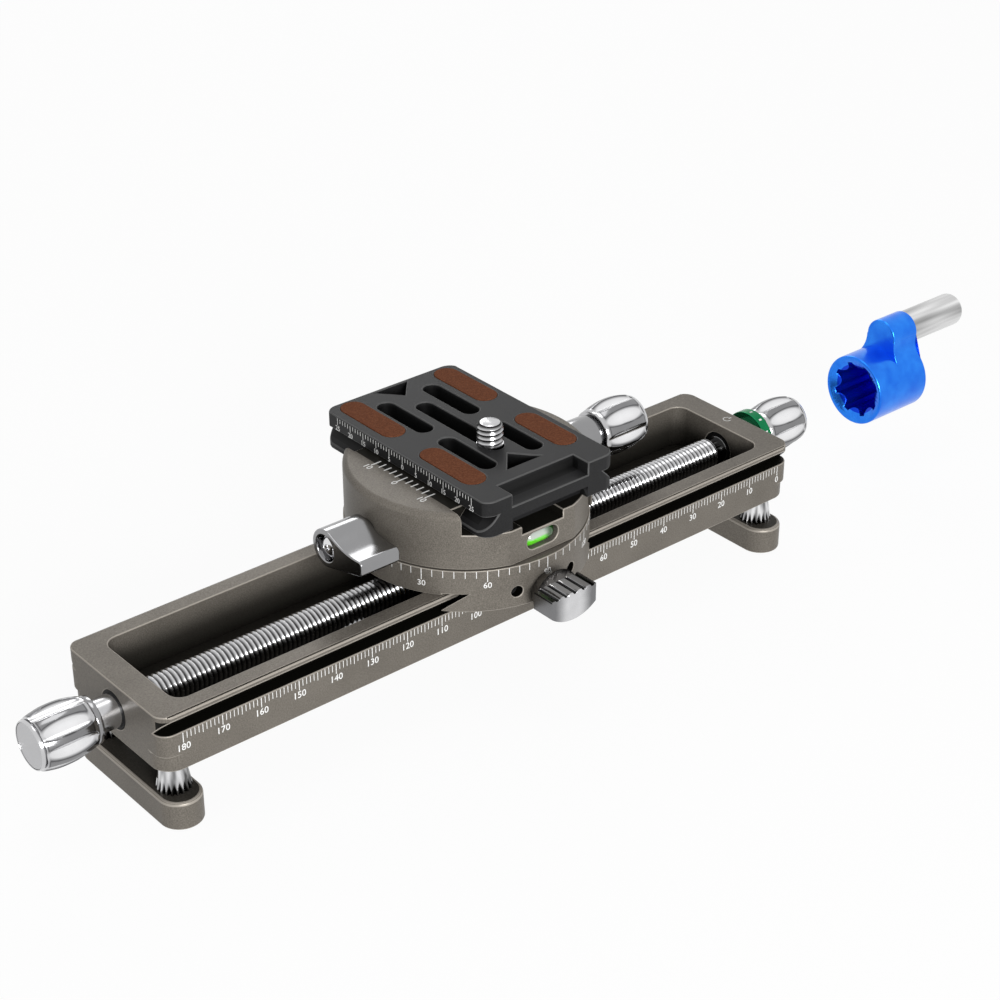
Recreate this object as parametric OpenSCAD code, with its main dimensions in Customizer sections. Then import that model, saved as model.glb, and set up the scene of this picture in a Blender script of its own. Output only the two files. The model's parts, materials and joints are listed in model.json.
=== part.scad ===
// Macro focusing rail: a screw-driven carriage with a panning quick-release clamp.
// The origin is in the middle of the rail's underside, where the tripod's hole is.
// +X runs along the rail to the dial end, -Y is the scale side and +Z is up.

/* [Rail] */
// Length of the rail body
rail_l = 190; // [176:1:240]
// Width of the rail body
rail_w = 38.6; // [37:0.1:42]
// Height of the rail body
rail_h = 14.4; // [13.6:0.1:18]
// Radius of the rail's upright corners
rail_corner_r = 3.4; // [2:0.1:4.5]
// Height of the plinth with wider corners along the rail's foot
plinth_h = 4; // [2:0.1:6]
// Radius of the plinth's upright corners
plinth_corner_r = 5; // [3.5:0.1:6]
// Thickness of the lip that the carriage hooks under
lip_t = 1.4; // [1:0.1:2]
// Depth of the dovetail groove under the lip
groove_d = 3.4; // [2.6:0.1:3.6]
// Thickness of the walls along the pocket
side_wall = 4.5; // [4.2:0.1:6]
// Thickness of the walls at the pocket's ends
end_wall = 6.95; // [6:0.05:10]
// Thickness of the floor under the pocket
floor_t = 3; // [2:0.1:3]
// Radius of the pocket's upright corners
pocket_r = 3.3; // [2:0.1:4]

/* [Feet] */
// Height of a foot bar
foot_h = 7.4; // [6:0.1:12]
// Width of a foot bar
foot_w = 10.2; // [9.6:0.1:11]
// How far a foot bar sticks out past each side of the rail
foot_over = 1.2; // [0.2:0.1:11]
// Gap between a foot bar and the rail
foot_gap = 8; // [6:0.1:12]
// Distance from the rail's end to the middle of a foot bar
foot_inset = 5.5; // [5.2:0.1:6.5]
// Distance from the rail's side to the middle of a foot screw
foot_screw_in = 5.8; // [5.3:0.1:7.3]
// Radius of a foot screw's shank
foot_screw_r = 1.5; // [1.2:0.05:1.9]
// Largest radius of the serrated nut on a foot screw
foot_nut_r = 4; // [3.4:0.1:4.6]

/* [Lead screw and knobs] */
// Outer radius of the lead screw's thread
screw_r = 3.95; // [3.5:0.05:4.1]
// Radius of the spigots that the knobs sit on
spigot_r = 2.6; // [2:0.1:3]
// Outer radius of the bearing bushes
bush_r = 4.63; // [4.4:0.01:5]
// Length of each knob's barrel
knob_l = 13.9; // [12:0.1:18]
// Largest radius of each knob's barrel
knob_r = 7.05; // [6.8:0.05:8]
// Radius of each knob's barrel at its ends
knob_end_r = 5.8; // [5.5:0.05:6]
// Distance from the axis to the bottom of a flute
flute_floor_r = 5.75; // [5.3:0.05:5.75]
// Radius of the cutter that makes a flute
flute_r = 2.6; // [2:0.1:2.8]
// Gap between the rail's end face and the left knob's collar
left_stem_l = 5.3; // [4:0.1:9]
// Radius of the graduated dial ring
dial_r = 6.9; // [6:0.1:8]
// Width of the graduated dial ring
dial_w = 2.8; // [2:0.1:4]

/* [Crank] */
// Outer radius of the crank's socket
crank_r = 9.8; // [9.4:0.1:12]
// Length of the crank's socket
crank_l = 19; // [17:0.1:24]
// Distance from the screw's axis to the handle's axis
crank_throw = 13.2; // [12:0.1:20]
// Radius of the crank's lobe round the handle
lobe_r = 4.9; // [4.6:0.1:6]
// Thickness of the crank's arm along the axis
arm_t = 9.5; // [7:0.1:11]
// Radius of the crank's handle
handle_r = 4.5; // [3.5:0.1:4.5]
// Length of the crank's handle
handle_l = 20.5; // [14:0.5:30]
// How far the crank is drawn off the knob
crank_off = 37; // [30:0.1:60]

/* [Carriage] */
// Place of the carriage along the rail
carriage_x = 3.5; // [-20:0.1:20]
// How far the round base reaches past each side of the rail
jaw_reach = 9.95; // [9.2:0.05:12.7]
// Height of the base's flat bottom above the rail's underside
base_drop = 4.2; // [3.8:0.1:4.4]
// Height of the base's seam with the turret above the rail's top
base_top = 6.65; // [6.2:0.05:10]
// Length of the drive nut
nut_l = 26; // [26:1:36]
// Thickness of the gib strip, square to its slanted face
gib_t = 1.05; // [0.8:0.05:1.4]
// Distance from the carriage's middle to each gib screw
gib_screw_x = 8.1; // [7:0.1:12]
// Width of the ribbed lock knob
lock_w = 13.3; // [11:0.1:15]
// Thickness of the ribbed lock knob
lock_t = 6.3; // [5:0.1:8]

/* [Turret] */
// How far the turret's side stands in from the base's side
turret_step = 0.25; // [0.1:0.05:1]
// Depth of the flat with the level, cut into the turret's side
flat_cut = 1.5; // [1.1:0.1:2.2]
// Height of the clamp channel's floor above the seam
channel_z = 9.25; // [9:0.05:12]
// Height of the jaws above the channel's floor
jaw_h = 5.1; // [4.6:0.1:5.2]
// Radius of the pivot post
pivot_r = 8; // [7:0.1:9]
// Width of the level's window
level_w = 9.3; // [8:0.1:12]
// Height of the level's window
level_h = 4.25; // [3.6:0.05:5]
// Thickness of the fixed jaw, from the turret's side to its upright face
fixed_jaw_t = 12; // [11.4:0.1:12.8]
// How much of the turret's side is cut away for the moving jaw
split_cut = 10.2; // [9:0.1:10.5]
// Thickness of the moving jaw, from its rim to its upright face
jaw_t = 7.1; // [6.6:0.1:8]
// Gap between the turret and the moving jaw
jaw_open = 1; // [0.6:0.1:1.6]
// Radius of the clamp screw
clamp_screw_r = 2.5; // [2:0.05:2.6]
// Length of the sleeve between the jaw's rim and the clamp knob
clamp_stem_l = 9.7; // [8:0.1:12]

/* [Wing lever] */
// Radius of the wing lever's boss
wing_boss_r = 4.7; // [4.4:0.1:5.6]
// Reach of the wing lever from its axis to its tip
wing_reach = 13.8; // [12:0.1:20]
// Thickness of the wing lever's tip
wing_tip_t = 3.9; // [3:0.1:4.5]
// Width of the wing lever along its axis
wing_w = 10.8; // [9:0.1:13]

/* [Quick-release plate] */
// How far the dovetail flange stands out past each side of the plate's top
flange_proud = 0.4; // [0.1:0.05:0.6]
// Length of the plate
plate_l = 60.4; // [56:0.1:80]
// Thickness of the plate
plate_t = 9.2; // [8.6:0.1:12]
// Place of the plate's middle in front of or behind the turret's axis
plate_y = 3.1; // [-10:0.1:10]
// Radius of the plate's upright corners
plate_corner_r = 3.5; // [2:0.1:5]
// Width of the slots in the plate
slot_w = 4.7; // [4.6:0.1:5]
// Radius of the camera stud's thread
stud_r = 3.175; // [2.4:0.005:3.2]
// Height of the camera stud above the plate
stud_h = 5.5; // [4:0.1:7]

/* [Fits] */
// Radial clearance of turning shafts and sliding faces
run = 0.05; // [0.03:0.01:0.08]
// Clearance between the jaws and the plate's dovetail
jaw_clear = 0.15; // [0.1:0.01:0.25]

/* [Hidden] */
$fn = 64;

anodised = [0.42, 0.39, 0.36];
steel = [0.80, 0.80, 0.82];
satin_black = [0.12, 0.12, 0.13];
cork = [0.40, 0.23, 0.15];

// One overrun for every cut, and the gap left between pieces fixed to each other
over = 1;
seat = 0.02;

// Levels: the feet stand on ground_z, and the rail's underside is at 0
ground_z = -foot_h - foot_gap;
foot_top = ground_z + foot_h;
screw_z = rail_h / 2;
rail_top = rail_h;
floor_z = floor_t;
base_z = rail_top - base_drop;
seam_z = rail_top + base_top;
channel_floor = seam_z + channel_z;
turret_top = channel_floor + jaw_h;

// Ends of the rail and its pocket
rail_end = rail_l / 2;
pocket_end = rail_end - end_wall;
pocket_w = rail_w - 2 * side_wall;

// Radii of the base and turret, and the distances from the turret's axis to its faces
rail_side = rail_w / 2;
base_r = rail_side + jaw_reach;
turret_r = base_r - turret_step;
flat_d = turret_r - flat_cut;
fixed_jaw_d = turret_r - fixed_jaw_t;
split_d = turret_r - split_cut;
jaw_face_d = turret_r - jaw_t;

// The plate's flange fills the jaws, and its top is a little narrower
flange_w = fixed_jaw_d + jaw_face_d + jaw_open - 2 * jaw_clear;
plate_w = flange_w - 2 * flange_proud;

// Knob and shaft places along X
collar_r = 5.56;
collar_w = 1.4;
left_collar_x = -rail_end - left_stem_l - collar_w;
left_knob_x = left_collar_x;
journal_r = 3.5;
thrust_w = 3.6;
thrust_r = 5.5;
thrust_gap = 0.1;
thrust_x = rail_end + thrust_gap;
dial_x = thrust_x + thrust_w;
right_collar_w = 0.8;
right_collar_x = dial_x + dial_w;
right_knob_x = right_collar_x + right_collar_w;
right_knob_end = right_knob_x + knob_l;

// Dovetail groove of the rail, at 45 degrees
groove_top = rail_top - lip_t;
groove_floor = groove_top - groove_d;

// Round rods along the three axes, from one end to the other
module rod_x(x0, x1, r, y, z) {
    translate([x0, y, z]) rotate([0, 90, 0]) cylinder(r = r, h = x1 - x0);
}

module rod_y(y0, y1, r, x, z) {
    translate([x, y0, z]) rotate([-90, 0, 0]) cylinder(r = r, h = y1 - y0);
}

module rod_z(z0, z1, r, x, y) {
    translate([x, y, z0]) cylinder(r = r, h = z1 - z0);
}

// A block between two corners
module block(low, high) {
    translate(low) cube(high - low);
}

// An outline in Y and Z, drawn out along X
module along_x(x0, x1) {
    translate([x0, 0, 0]) rotate([90, 0, 90]) linear_extrude(height = x1 - x0) children();
}

// An outline in X and Z, drawn out along Y
module along_y(y0, y1) {
    translate([0, y1, 0]) rotate([90, 0, 0]) linear_extrude(height = y1 - y0) children();
}

// A rectangle with round corners, centred
module round_rect(length, width, r) {
    square([length - 2 * r, width], center = true);
    square([length, width - 2 * r], center = true);
    for (sx = [-1, 1], sy = [-1, 1])
        translate([sx * (length / 2 - r), sy * (width / 2 - r)]) circle(r = r);
}

// A slot with round ends along Y
module slot_y(x, y0, y1, width) {
    translate([x - width / 2, y0 + width / 2]) square([width, y1 - y0 - width]);
    for (y = [y0 + width / 2, y1 - width / 2]) translate([x, y]) circle(r = width / 2);
}

// Rail

rail_edge = 0.4;
ring_hole_r = bush_r + seat;
tripod_small_r = 3.175;
tripod_large_r = 4.76;
tripod_x = rail_l / 6;
foot_screw_y = rail_side - foot_screw_in;
foot_screw_depth = 5;

module rail_outline() {
    low = groove_floor;
    polygon([
        [-rail_side, 0], [rail_side, 0],
        [rail_side, low], [rail_side - groove_d, low], [rail_side, groove_top],
        [rail_side, rail_top - rail_edge], [rail_side - rail_edge, rail_top],
        [rail_edge - rail_side, rail_top], [-rail_side, rail_top - rail_edge],
        [-rail_side, groove_top], [groove_d - rail_side, low], [-rail_side, low]
    ]);
}

module rail_body() {
    color(anodised) difference() {
        intersection() {
            along_x(-rail_end, rail_end) rail_outline();
            union() {
                linear_extrude(height = plinth_h) round_rect(rail_l, rail_w, plinth_corner_r);
                translate([0, 0, plinth_h]) linear_extrude(height = rail_h - plinth_h)
                    round_rect(rail_l, rail_w, rail_corner_r);
            }
        }
        translate([0, 0, floor_z]) linear_extrude(height = rail_h)
            round_rect(2 * pocket_end, pocket_w, pocket_r);
        rod_x(-rail_end - over, rail_end + over, ring_hole_r, 0, screw_z);
        for (sx = [-1, 1], sy = [-1, 1])
            rod_z(-over, foot_screw_depth + seat, foot_screw_r + run,
                sx * (rail_end - foot_inset), sy * foot_screw_y);
        rod_z(-over, floor_z + over, tripod_large_r, 0, 0);
        for (sx = [-1, 1]) rod_z(-over, floor_z + over, tripod_small_r, sx * tripod_x, 0);
    }
}

module bush(x0, x1, bore_r) {
    difference() {
        rod_x(x0, x1, bush_r, 0, screw_z);
        rod_x(x0 - over, x1 + over, bore_r, 0, screw_z);
    }
}

module left_bearing() {
    color(satin_black) bush(-rail_end, -pocket_end, screw_r + run);
}

module right_bearing() {
    color(satin_black) bush(pocket_end, rail_end, journal_r + run);
}

// Feet

foot_edge = 0.5;
pad_r = 3.6;
pad_t = 1.2;
pad_proud = 0.4;
foot_l = rail_w + 2 * foot_over;
foot_x = rail_end - foot_inset;
foot_screw_head_r = 1.8 * foot_screw_r;
foot_screw_head_t = foot_screw_r;
foot_head_z = ground_z + pad_t + seat;

module foot(x) {
    round_y = foot_l / 2 - foot_w / 2;
    difference() {
        translate([x, 0, ground_z + pad_proud]) union() {
            linear_extrude(height = foot_h - pad_proud - foot_edge)
                slot_y(0, -foot_l / 2, foot_l / 2, foot_w);
            translate([0, 0, foot_h - pad_proud - foot_edge]) {
                translate([foot_edge - foot_w / 2, -round_y, 0])
                    cube([foot_w - 2 * foot_edge, 2 * round_y, foot_edge]);
                for (y = [-round_y, round_y]) translate([0, y, 0])
                    cylinder(r1 = foot_w / 2, r2 = foot_w / 2 - foot_edge, h = foot_edge);
                for (s = [0, 1]) mirror([s, 0, 0]) rotate([90, 0, 0]) translate([0, 0, -round_y])
                    linear_extrude(height = 2 * round_y) polygon([
                        [0, 0], [foot_w / 2, 0], [foot_w / 2 - foot_edge, foot_edge], [0, foot_edge]
                    ]);
            }
        }
        for (sy = [-1, 1]) {
            rod_z(ground_z - over, foot_top + over, foot_screw_r + run, x, sy * foot_screw_y);
            rod_z(ground_z - over, foot_head_z + foot_screw_head_t + seat, foot_screw_head_r + run, x,
                sy * foot_screw_y);
            rod_z(ground_z - over, ground_z + pad_t, pad_r + seat, x, sy * foot_screw_y);
        }
    }
}

module left_foot() {
    color(anodised) foot(-foot_x);
}

module right_foot() {
    color(anodised) foot(foot_x);
}

module foot_pads() {
    color(satin_black) for (sx = [-1, 1], sy = [-1, 1])
        rod_z(ground_z, ground_z + pad_t, pad_r, sx * foot_x, sy * foot_screw_y);
}

module foot_screws() {
    color(steel) for (sx = [-1, 1], sy = [-1, 1]) {
        rod_z(foot_head_z, foot_head_z + foot_screw_head_t, foot_screw_head_r, sx * foot_x,
            sy * foot_screw_y);
        rod_z(foot_head_z, foot_screw_depth, foot_screw_r, sx * foot_x, sy * foot_screw_y);
    }
}

foot_nut_top_share = 0.62;
foot_nut_rim_share = 0.14;
foot_nut_teeth = 14;

// Serrated nut: a cone that widens to a toothed skirt at the foot bar
module foot_nut(x, y) {
    low = foot_top + run;
    tall = foot_gap - 2 * run;
    rim = tall * foot_nut_rim_share;
    top_r = foot_nut_r * foot_nut_top_share;
    notch = foot_nut_r * 2 * PI / foot_nut_teeth;
    color(steel) translate([x, y, low]) difference() {
        union() {
            cylinder(r = foot_nut_r, h = rim);
            translate([0, 0, rim]) cylinder(r1 = foot_nut_r, r2 = top_r, h = tall - rim);
        }
        translate([0, 0, -over]) cylinder(r = foot_screw_r + run, h = tall + 2 * over);
        for (i = [0 : foot_nut_teeth - 1]) rotate([0, 0, i * 360 / foot_nut_teeth])
            translate([foot_nut_r, 0, -over]) rotate([0, -12, 0]) rotate([0, 0, 45])
                translate([-notch / 3, -notch / 3, 0])
                    cube([2 * notch / 3, 2 * notch / 3, tall - rim]);
    }
}

module front_left_foot_nut() {
    foot_nut(-foot_x, -foot_screw_y);
}

module back_left_foot_nut() {
    foot_nut(-foot_x, foot_screw_y);
}

module front_right_foot_nut() {
    foot_nut(foot_x, -foot_screw_y);
}

module back_right_foot_nut() {
    foot_nut(foot_x, foot_screw_y);
}

// Lead screw, knobs and dial

flutes = 8;
cap_t = 1.2;
cap_sink = 0.1;
cap_rim = 0.45;
cap_r = knob_end_r - cap_rim;
spigot_depth = knob_l - 2.5 * cap_t;
neck_l = 3.5;
neck_r = 0.75 * screw_r;
thread_end = pocket_end - neck_l;

module lead_screw() {
    left_tip = left_knob_x - spigot_depth;
    right_tip = right_knob_x + spigot_depth;
    color(steel) {
        rod_x(left_tip, left_collar_x, spigot_r, 0, screw_z);
        rod_x(left_collar_x, thread_end, screw_r, 0, screw_z);
        rod_x(thread_end, pocket_end, neck_r, 0, screw_z);
        rod_x(pocket_end, thrust_x, journal_r, 0, screw_z);
        rod_x(thrust_x, right_tip, spigot_r, 0, screw_z);
    }
}

module washer_x(x0, x1, outer_r, bore_r) {
    difference() {
        rod_x(x0, x1, outer_r, 0, screw_z);
        rod_x(x0 - over, x1 + over, bore_r, 0, screw_z);
    }
}

// A knob's barrel from 0 to knob_l along +Z, with a recess for its cap and a bore for its spigot
module knob(bore_r) {
    rise = knob_r - knob_end_r;
    arc_r = (knob_l * knob_l / 4 + rise * rise) / (2 * rise);
    difference() {
        rotate_extrude() intersection() {
            square([knob_r, knob_l]);
            translate([knob_r - arc_r, knob_l / 2]) circle(r = arc_r, $fn = 360);
        }
        for (i = [0 : flutes - 1]) rotate([0, 0, i * 360 / flutes])
            translate([flute_floor_r + flute_r, 0, -over]) cylinder(r = flute_r, h = knob_l + 2 * over);
        translate([0, 0, knob_l - cap_t]) cylinder(r = cap_r + seat, h = cap_t + over);
        translate([0, 0, -over]) cylinder(r = bore_r, h = spigot_depth + seat + over);
    }
}

module knob_cap() {
    translate([0, 0, knob_l - cap_t]) cylinder(r = cap_r, h = cap_t - cap_sink);
}

module left_collar() {
    color(steel) washer_x(left_collar_x + seat, left_collar_x + collar_w, collar_r, screw_r + seat);
}

module left_knob() {
    color(steel) translate([left_knob_x, 0, screw_z]) rotate([0, -90, 0]) knob(spigot_r + seat);
}

module left_knob_cap() {
    color(steel) translate([left_knob_x, 0, screw_z]) rotate([0, -90, 0]) knob_cap();
}

module thrust_collar() {
    color(steel) washer_x(thrust_x, dial_x - seat, thrust_r, spigot_r + seat);
}

module dial_ring() {
    color([0.0, 0.45, 0.22]) washer_x(dial_x, dial_x + dial_w, dial_r, spigot_r + seat);
}

module right_collar() {
    color(steel) washer_x(right_collar_x + seat, right_knob_x - seat, collar_r, spigot_r + seat);
}

module right_knob() {
    color(steel) translate([right_knob_x, 0, screw_z]) rotate([0, 90, 0]) knob(spigot_r + seat);
}

module right_knob_cap() {
    color(steel) translate([right_knob_x, 0, screw_z]) rotate([0, 90, 0]) knob_cap();
}

// Crank: its lobed socket slides over the right knob's flutes

tooth_clear = 0.2;
socket_r = 0.78 * crank_r;
tooth_tip_r = flute_floor_r + tooth_clear;
socket_depth = knob_l - cap_t;
crank_x = right_knob_end + tooth_clear - socket_depth + crank_off;
crank_back = crank_x + crank_l;
arm_x = crank_back - arm_t;
crank_edge = 0.3;
mouth_r = crank_r - 2 * crank_edge;
mouth_slope = 1.8;
mouth_d = (mouth_r - tooth_tip_r) / mouth_slope;
handle_z = screw_z + crank_throw;
blend_r = 9;
handle_pin_r = 0.4 * handle_r;
handle_end_r = 1.8;
pin_depth = arm_t / 2;

// Where a blend circle stands that touches the socket and the lobe from outside
function blend_up() = ((crank_r + blend_r) ^ 2 - (lobe_r + blend_r) ^ 2 + crank_throw ^ 2) / (2 * crank_throw);
function blend_out() = sqrt((crank_r + blend_r) ^ 2 - blend_up() ^ 2);

module arm_outline() {
    up = blend_up();
    out = blend_out();
    low_share = crank_r / (crank_r + blend_r);
    high_share = lobe_r / (lobe_r + blend_r);
    translate([0, screw_z]) difference() {
        polygon([
            [0, 0], [out * low_share, up * low_share], [out, up],
            [out * high_share, crank_throw + (up - crank_throw) * high_share], [0, crank_throw],
            [-out * high_share, crank_throw + (up - crank_throw) * high_share],
            [-out, up], [-out * low_share, up * low_share]
        ]);
        for (s = [-1, 1]) translate([s * out, up]) circle(r = blend_r);
    }
}

// A round boss along X with chamfered ends
module boss(x0, x1, r, edge, z) {
    rod_x(x0 + edge, x1 - edge, r, 0, z);
    for (s = [0, 1]) translate([s == 0 ? x0 + edge : x1 - edge, 0, z]) rotate([0, s == 0 ? -90 : 90, 0])
        cylinder(r1 = r, r2 = r - edge, h = edge);
}

module crank_socket() {
    color([0.05, 0.25, 0.95]) difference() {
        union() {
            boss(crank_x, crank_back, crank_r, crank_edge, screw_z);
            boss(arm_x, crank_back, lobe_r, crank_edge, handle_z);
            along_x(arm_x, crank_back - crank_edge) arm_outline();
        }
        difference() {
            rod_x(crank_x - over, crank_x + socket_depth, socket_r, 0, screw_z);
            for (i = [0 : flutes - 1]) translate([crank_x, 0, screw_z]) rotate([i * 360 / flutes, 0, 0])
                rod_x(0, socket_depth + over, flute_r - tooth_clear, 0, flute_floor_r + flute_r);
        }
        translate([crank_x - crank_edge, 0, screw_z]) rotate([0, 90, 0])
            cylinder(r1 = mouth_r + mouth_slope * crank_edge, r2 = tooth_tip_r, h = mouth_d + crank_edge);
        rod_x(crank_back - pin_depth, crank_back + over, handle_pin_r + seat, 0, handle_z);
    }
}

module crank_handle() {
    back = crank_back + run;
    straight = handle_l - handle_end_r;
    color(steel) difference() {
        translate([back, 0, handle_z]) rotate([0, 90, 0]) union() {
            cylinder(r = handle_r, h = straight);
            rotate_extrude() {
                translate([0, straight]) square([handle_r - handle_end_r, handle_end_r]);
                intersection() {
                    translate([handle_r - handle_end_r, straight]) circle(r = handle_end_r);
                    translate([0, straight]) square([handle_r, handle_end_r]);
                }
            }
        }
        rod_x(back - over, back + straight, handle_pin_r + run, 0, handle_z);
    }
}

module crank_handle_pin() {
    tip = crank_back + run + handle_l - handle_end_r - run;
    color(steel) rod_x(crank_back - pin_depth + seat, tip, handle_pin_r, 0, handle_z);
}

// Carriage base

land_gap = run;
step_gap = 0.5;
slide_shift = run * sqrt(2);
jaw_shift = gib_t * sqrt(2) + 2 * slide_shift;
land_edge = rail_side - 1.8 * rail_edge;
step_z = rail_top + step_gap;

// Distance from the middle plane of a slanted face at one level; shift is how far it stands off the groove
function slant_y(z, shift) = z - groove_top + rail_side + shift;

// Half of the opening that the rail passes through
module base_slot(shift) {
    low = base_z - over;
    polygon([
        [-over, low], [slant_y(low, shift), low], [slant_y(step_z, shift), step_z],
        [land_edge, step_z], [land_edge, rail_top + land_gap], [-over, rail_top + land_gap]
    ]);
}

nut_w = 0.75 * pocket_w;
nut_z = floor_z + 0.1 * floor_t;
nut_top = rail_top + land_gap;
nut_screw_r = 1.5;
nut_screw_x = 0.36 * nut_l;
nut_screw_y = 0.36 * nut_w;
nut_head_r = 1.8 * nut_screw_r;
nut_head_t = 2 * nut_screw_r;
nut_screw_depth = 2.4;
nut_screw_top = seam_z - nut_screw_r / 2;
gib_screw_r = 1.4;
gib_screw_z = rail_top - gib_screw_r / 7;
gib_screw_tip = 0.45 * gib_screw_r;
pivot_floor = rail_top + 0.22 * base_top;
pivot_screw_r = 2;
lock_x = carriage_x - 0.034 * lock_w;
lock_z = rail_top - 0.135 * lock_w;
lock_stem_r = 1.7;
bearing_in_r = 1.375 * pivot_r;
bearing_out_r = 0.724 * turret_r;
bearing_t = 0.6;
bearing_sink = 0.3;
lock_gap = 3.45;
gib_l = 1.25 * base_r;

module carriage_base() {
    color(anodised) difference() {
        rod_z(base_z, seam_z, base_r, carriage_x, 0);
        along_x(carriage_x - base_r - over, carriage_x + base_r + over) {
            base_slot(slide_shift);
            mirror([1, 0]) base_slot(jaw_shift);
        }
        rod_z(pivot_floor, seam_z + over, pivot_r + seat, carriage_x, 0);
        difference() {
            rod_z(seam_z - bearing_sink, seam_z + over, bearing_out_r + seat, carriage_x, 0);
            rod_z(seam_z - bearing_sink - over, seam_z + over, bearing_in_r - seat, carriage_x, 0);
        }
        for (sx = [-1, 1], sy = [-1, 1]) {
            rod_z(rail_top, seam_z + over, nut_screw_r + seat, carriage_x + sx * nut_screw_x,
                sy * nut_screw_y);
            rod_z(nut_screw_top - nut_head_t - seat, seam_z + over, nut_head_r + seat,
                carriage_x + sx * nut_screw_x, sy * nut_screw_y);
        }
        for (sx = [-1, 1])
            rod_y(-base_r - over, -slant_y(gib_screw_z - gib_screw_r, jaw_shift), gib_screw_r + seat,
                carriage_x + sx * gib_screw_x, gib_screw_z);
        rod_y(-base_r - over, -slant_y(base_z, jaw_shift), lock_stem_r + run, lock_x, lock_z);
    }
}

module drive_nut() {
    half = nut_l / 2;
    color([0.78, 0.62, 0.30]) difference() {
        block([carriage_x - half, -nut_w / 2, nut_z], [carriage_x + half, nut_w / 2, nut_top]);
        rod_x(carriage_x - half - over, carriage_x + half + over, screw_r + run, 0, screw_z);
        for (sx = [-1, 1], sy = [-1, 1])
            rod_z(nut_top - nut_screw_depth - seat, nut_top + over, nut_screw_r + seat,
                carriage_x + sx * nut_screw_x, sy * nut_screw_y);
    }
}

module drive_nut_screws() {
    color(steel) for (sx = [-1, 1], sy = [-1, 1]) {
        rod_z(nut_top - nut_screw_depth, nut_screw_top, nut_screw_r, carriage_x + sx * nut_screw_x,
            sy * nut_screw_y);
        rod_z(nut_screw_top - nut_head_t, nut_screw_top, nut_head_r, carriage_x + sx * nut_screw_x,
            sy * nut_screw_y);
    }
}

// The gib lies between the front jaw's slanted face and the rail's groove, with a head beside the lip
gib_shift = jaw_shift - slide_shift;

module gib_outline() {
    low = groove_floor + 0.2 * groove_d;
    top = step_z - seat;
    lip_y = rail_side + run;
    polygon([
        [slant_y(low, slide_shift), low], [slant_y(low, gib_shift), low],
        [slant_y(top, gib_shift), top], [lip_y, top],
        [lip_y, groove_top - slide_shift + run]
    ]);
}

module gib_strip() {
    color(satin_black) along_x(carriage_x - gib_l / 2, carriage_x + gib_l / 2)
        mirror([1, 0]) gib_outline();
}

module gib_screws() {
    tip_y = -slant_y(gib_screw_z + gib_screw_tip, gib_shift) - seat;
    body_y = tip_y - gib_screw_r;
    outer_y = -sqrt(base_r * base_r - (gib_screw_x + gib_screw_r) ^ 2) + gib_screw_r;
    color(satin_black) for (sx = [-1, 1]) {
        x = carriage_x + sx * gib_screw_x;
        rod_y(outer_y, body_y, gib_screw_r, x, gib_screw_z);
        rod_y(outer_y, tip_y, gib_screw_tip, x, gib_screw_z);
    }
}

pivot_top = channel_floor - 0.43 * jaw_h;
retainer_r = 1.35 * pivot_r;
retainer_t = channel_floor - pivot_top - 3 * run;
pivot_screw_depth = 0.5 * (pivot_top - pivot_floor);

module pan_pivot() {
    color(steel) difference() {
        rod_z(pivot_floor, pivot_top, pivot_r, carriage_x, 0);
        rod_z(pivot_top - pivot_screw_depth, pivot_top + over, pivot_screw_r + seat, carriage_x, 0);
    }
}

module pan_retainer() {
    color(steel) difference() {
        rod_z(pivot_top, pivot_top + retainer_t, retainer_r, carriage_x, 0);
        rod_z(pivot_top - over, channel_floor, pivot_screw_r + seat, carriage_x, 0);
        rod_z(pivot_top + retainer_t / 3, channel_floor, 2 * pivot_screw_r + seat, carriage_x, 0);
    }
}

module pivot_screw() {
    low = pivot_top + retainer_t / 3 + seat;
    color(satin_black) {
        rod_z(pivot_top - pivot_screw_depth + seat, low, pivot_screw_r, carriage_x, 0);
        rod_z(low, pivot_top + retainer_t - seat, 2 * pivot_screw_r, carriage_x, 0);
    }
}

// Ribbed lock knob under the level

lock_top = lock_z + 0.26 * lock_w;
lock_side_z = lock_top - 0.353 * lock_w;
lock_bow = 0.18 * lock_w;
lock_bow_r = (lock_w * lock_w / 4 + lock_bow * lock_bow) / (2 * lock_bow);
lock_back = -base_r - lock_gap;
lock_grooves = 5;
lock_groove_r = 0.046 * lock_w;
lock_first_share = 0.6;
lock_root_r = 0.48 * lock_w;
lock_boss_r = 0.34 * lock_w;

// Outline of the head: a block with a bowed underside, up to one level
module lock_outline(top) {
    translate([lock_x - lock_w / 2, lock_side_z]) square([lock_w, top - lock_side_z]);
    intersection() {
        translate([lock_x, lock_side_z - lock_bow + lock_bow_r]) circle(r = lock_bow_r);
        translate([lock_x - lock_w / 2, lock_side_z - lock_bow]) square([lock_w, 2 * lock_bow]);
    }
}

// The ribbed head and the round shoulder that narrows behind it
module lock_knob() {
    front = lock_back - lock_t;
    shoulder_end = -base_r - run;
    color(steel) difference() {
        union() {
            difference() {
                along_y(front, lock_back) lock_outline(lock_top);
                for (i = [0 : lock_grooves - 1])
                    rod_y(front - over, lock_back + over, lock_groove_r,
                        lock_x - lock_w / 2 + (i + lock_first_share) * lock_w / lock_grooves,
                        lock_top + lock_groove_r / 3);
            }
            intersection() {
                translate([lock_x, lock_back, lock_z]) rotate([-90, 0, 0])
                    cylinder(r1 = lock_root_r, r2 = lock_boss_r, h = shoulder_end - lock_back);
                along_y(lock_back - over, shoulder_end + over) lock_outline(lock_z + lock_w);
            }
        }
        rod_y(lock_back - lock_t / 2, 0, lock_stem_r + seat, lock_x, lock_z);
    }
}

module lock_stem() {
    tip_y = -slant_y(lock_z + lock_stem_r, gib_shift) - seat;
    color(steel) rod_y(lock_back - lock_t / 2 + seat, tip_y, lock_stem_r, lock_x, lock_z);
}

// Turret

pan_z = seam_z + bearing_t - bearing_sink;

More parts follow.
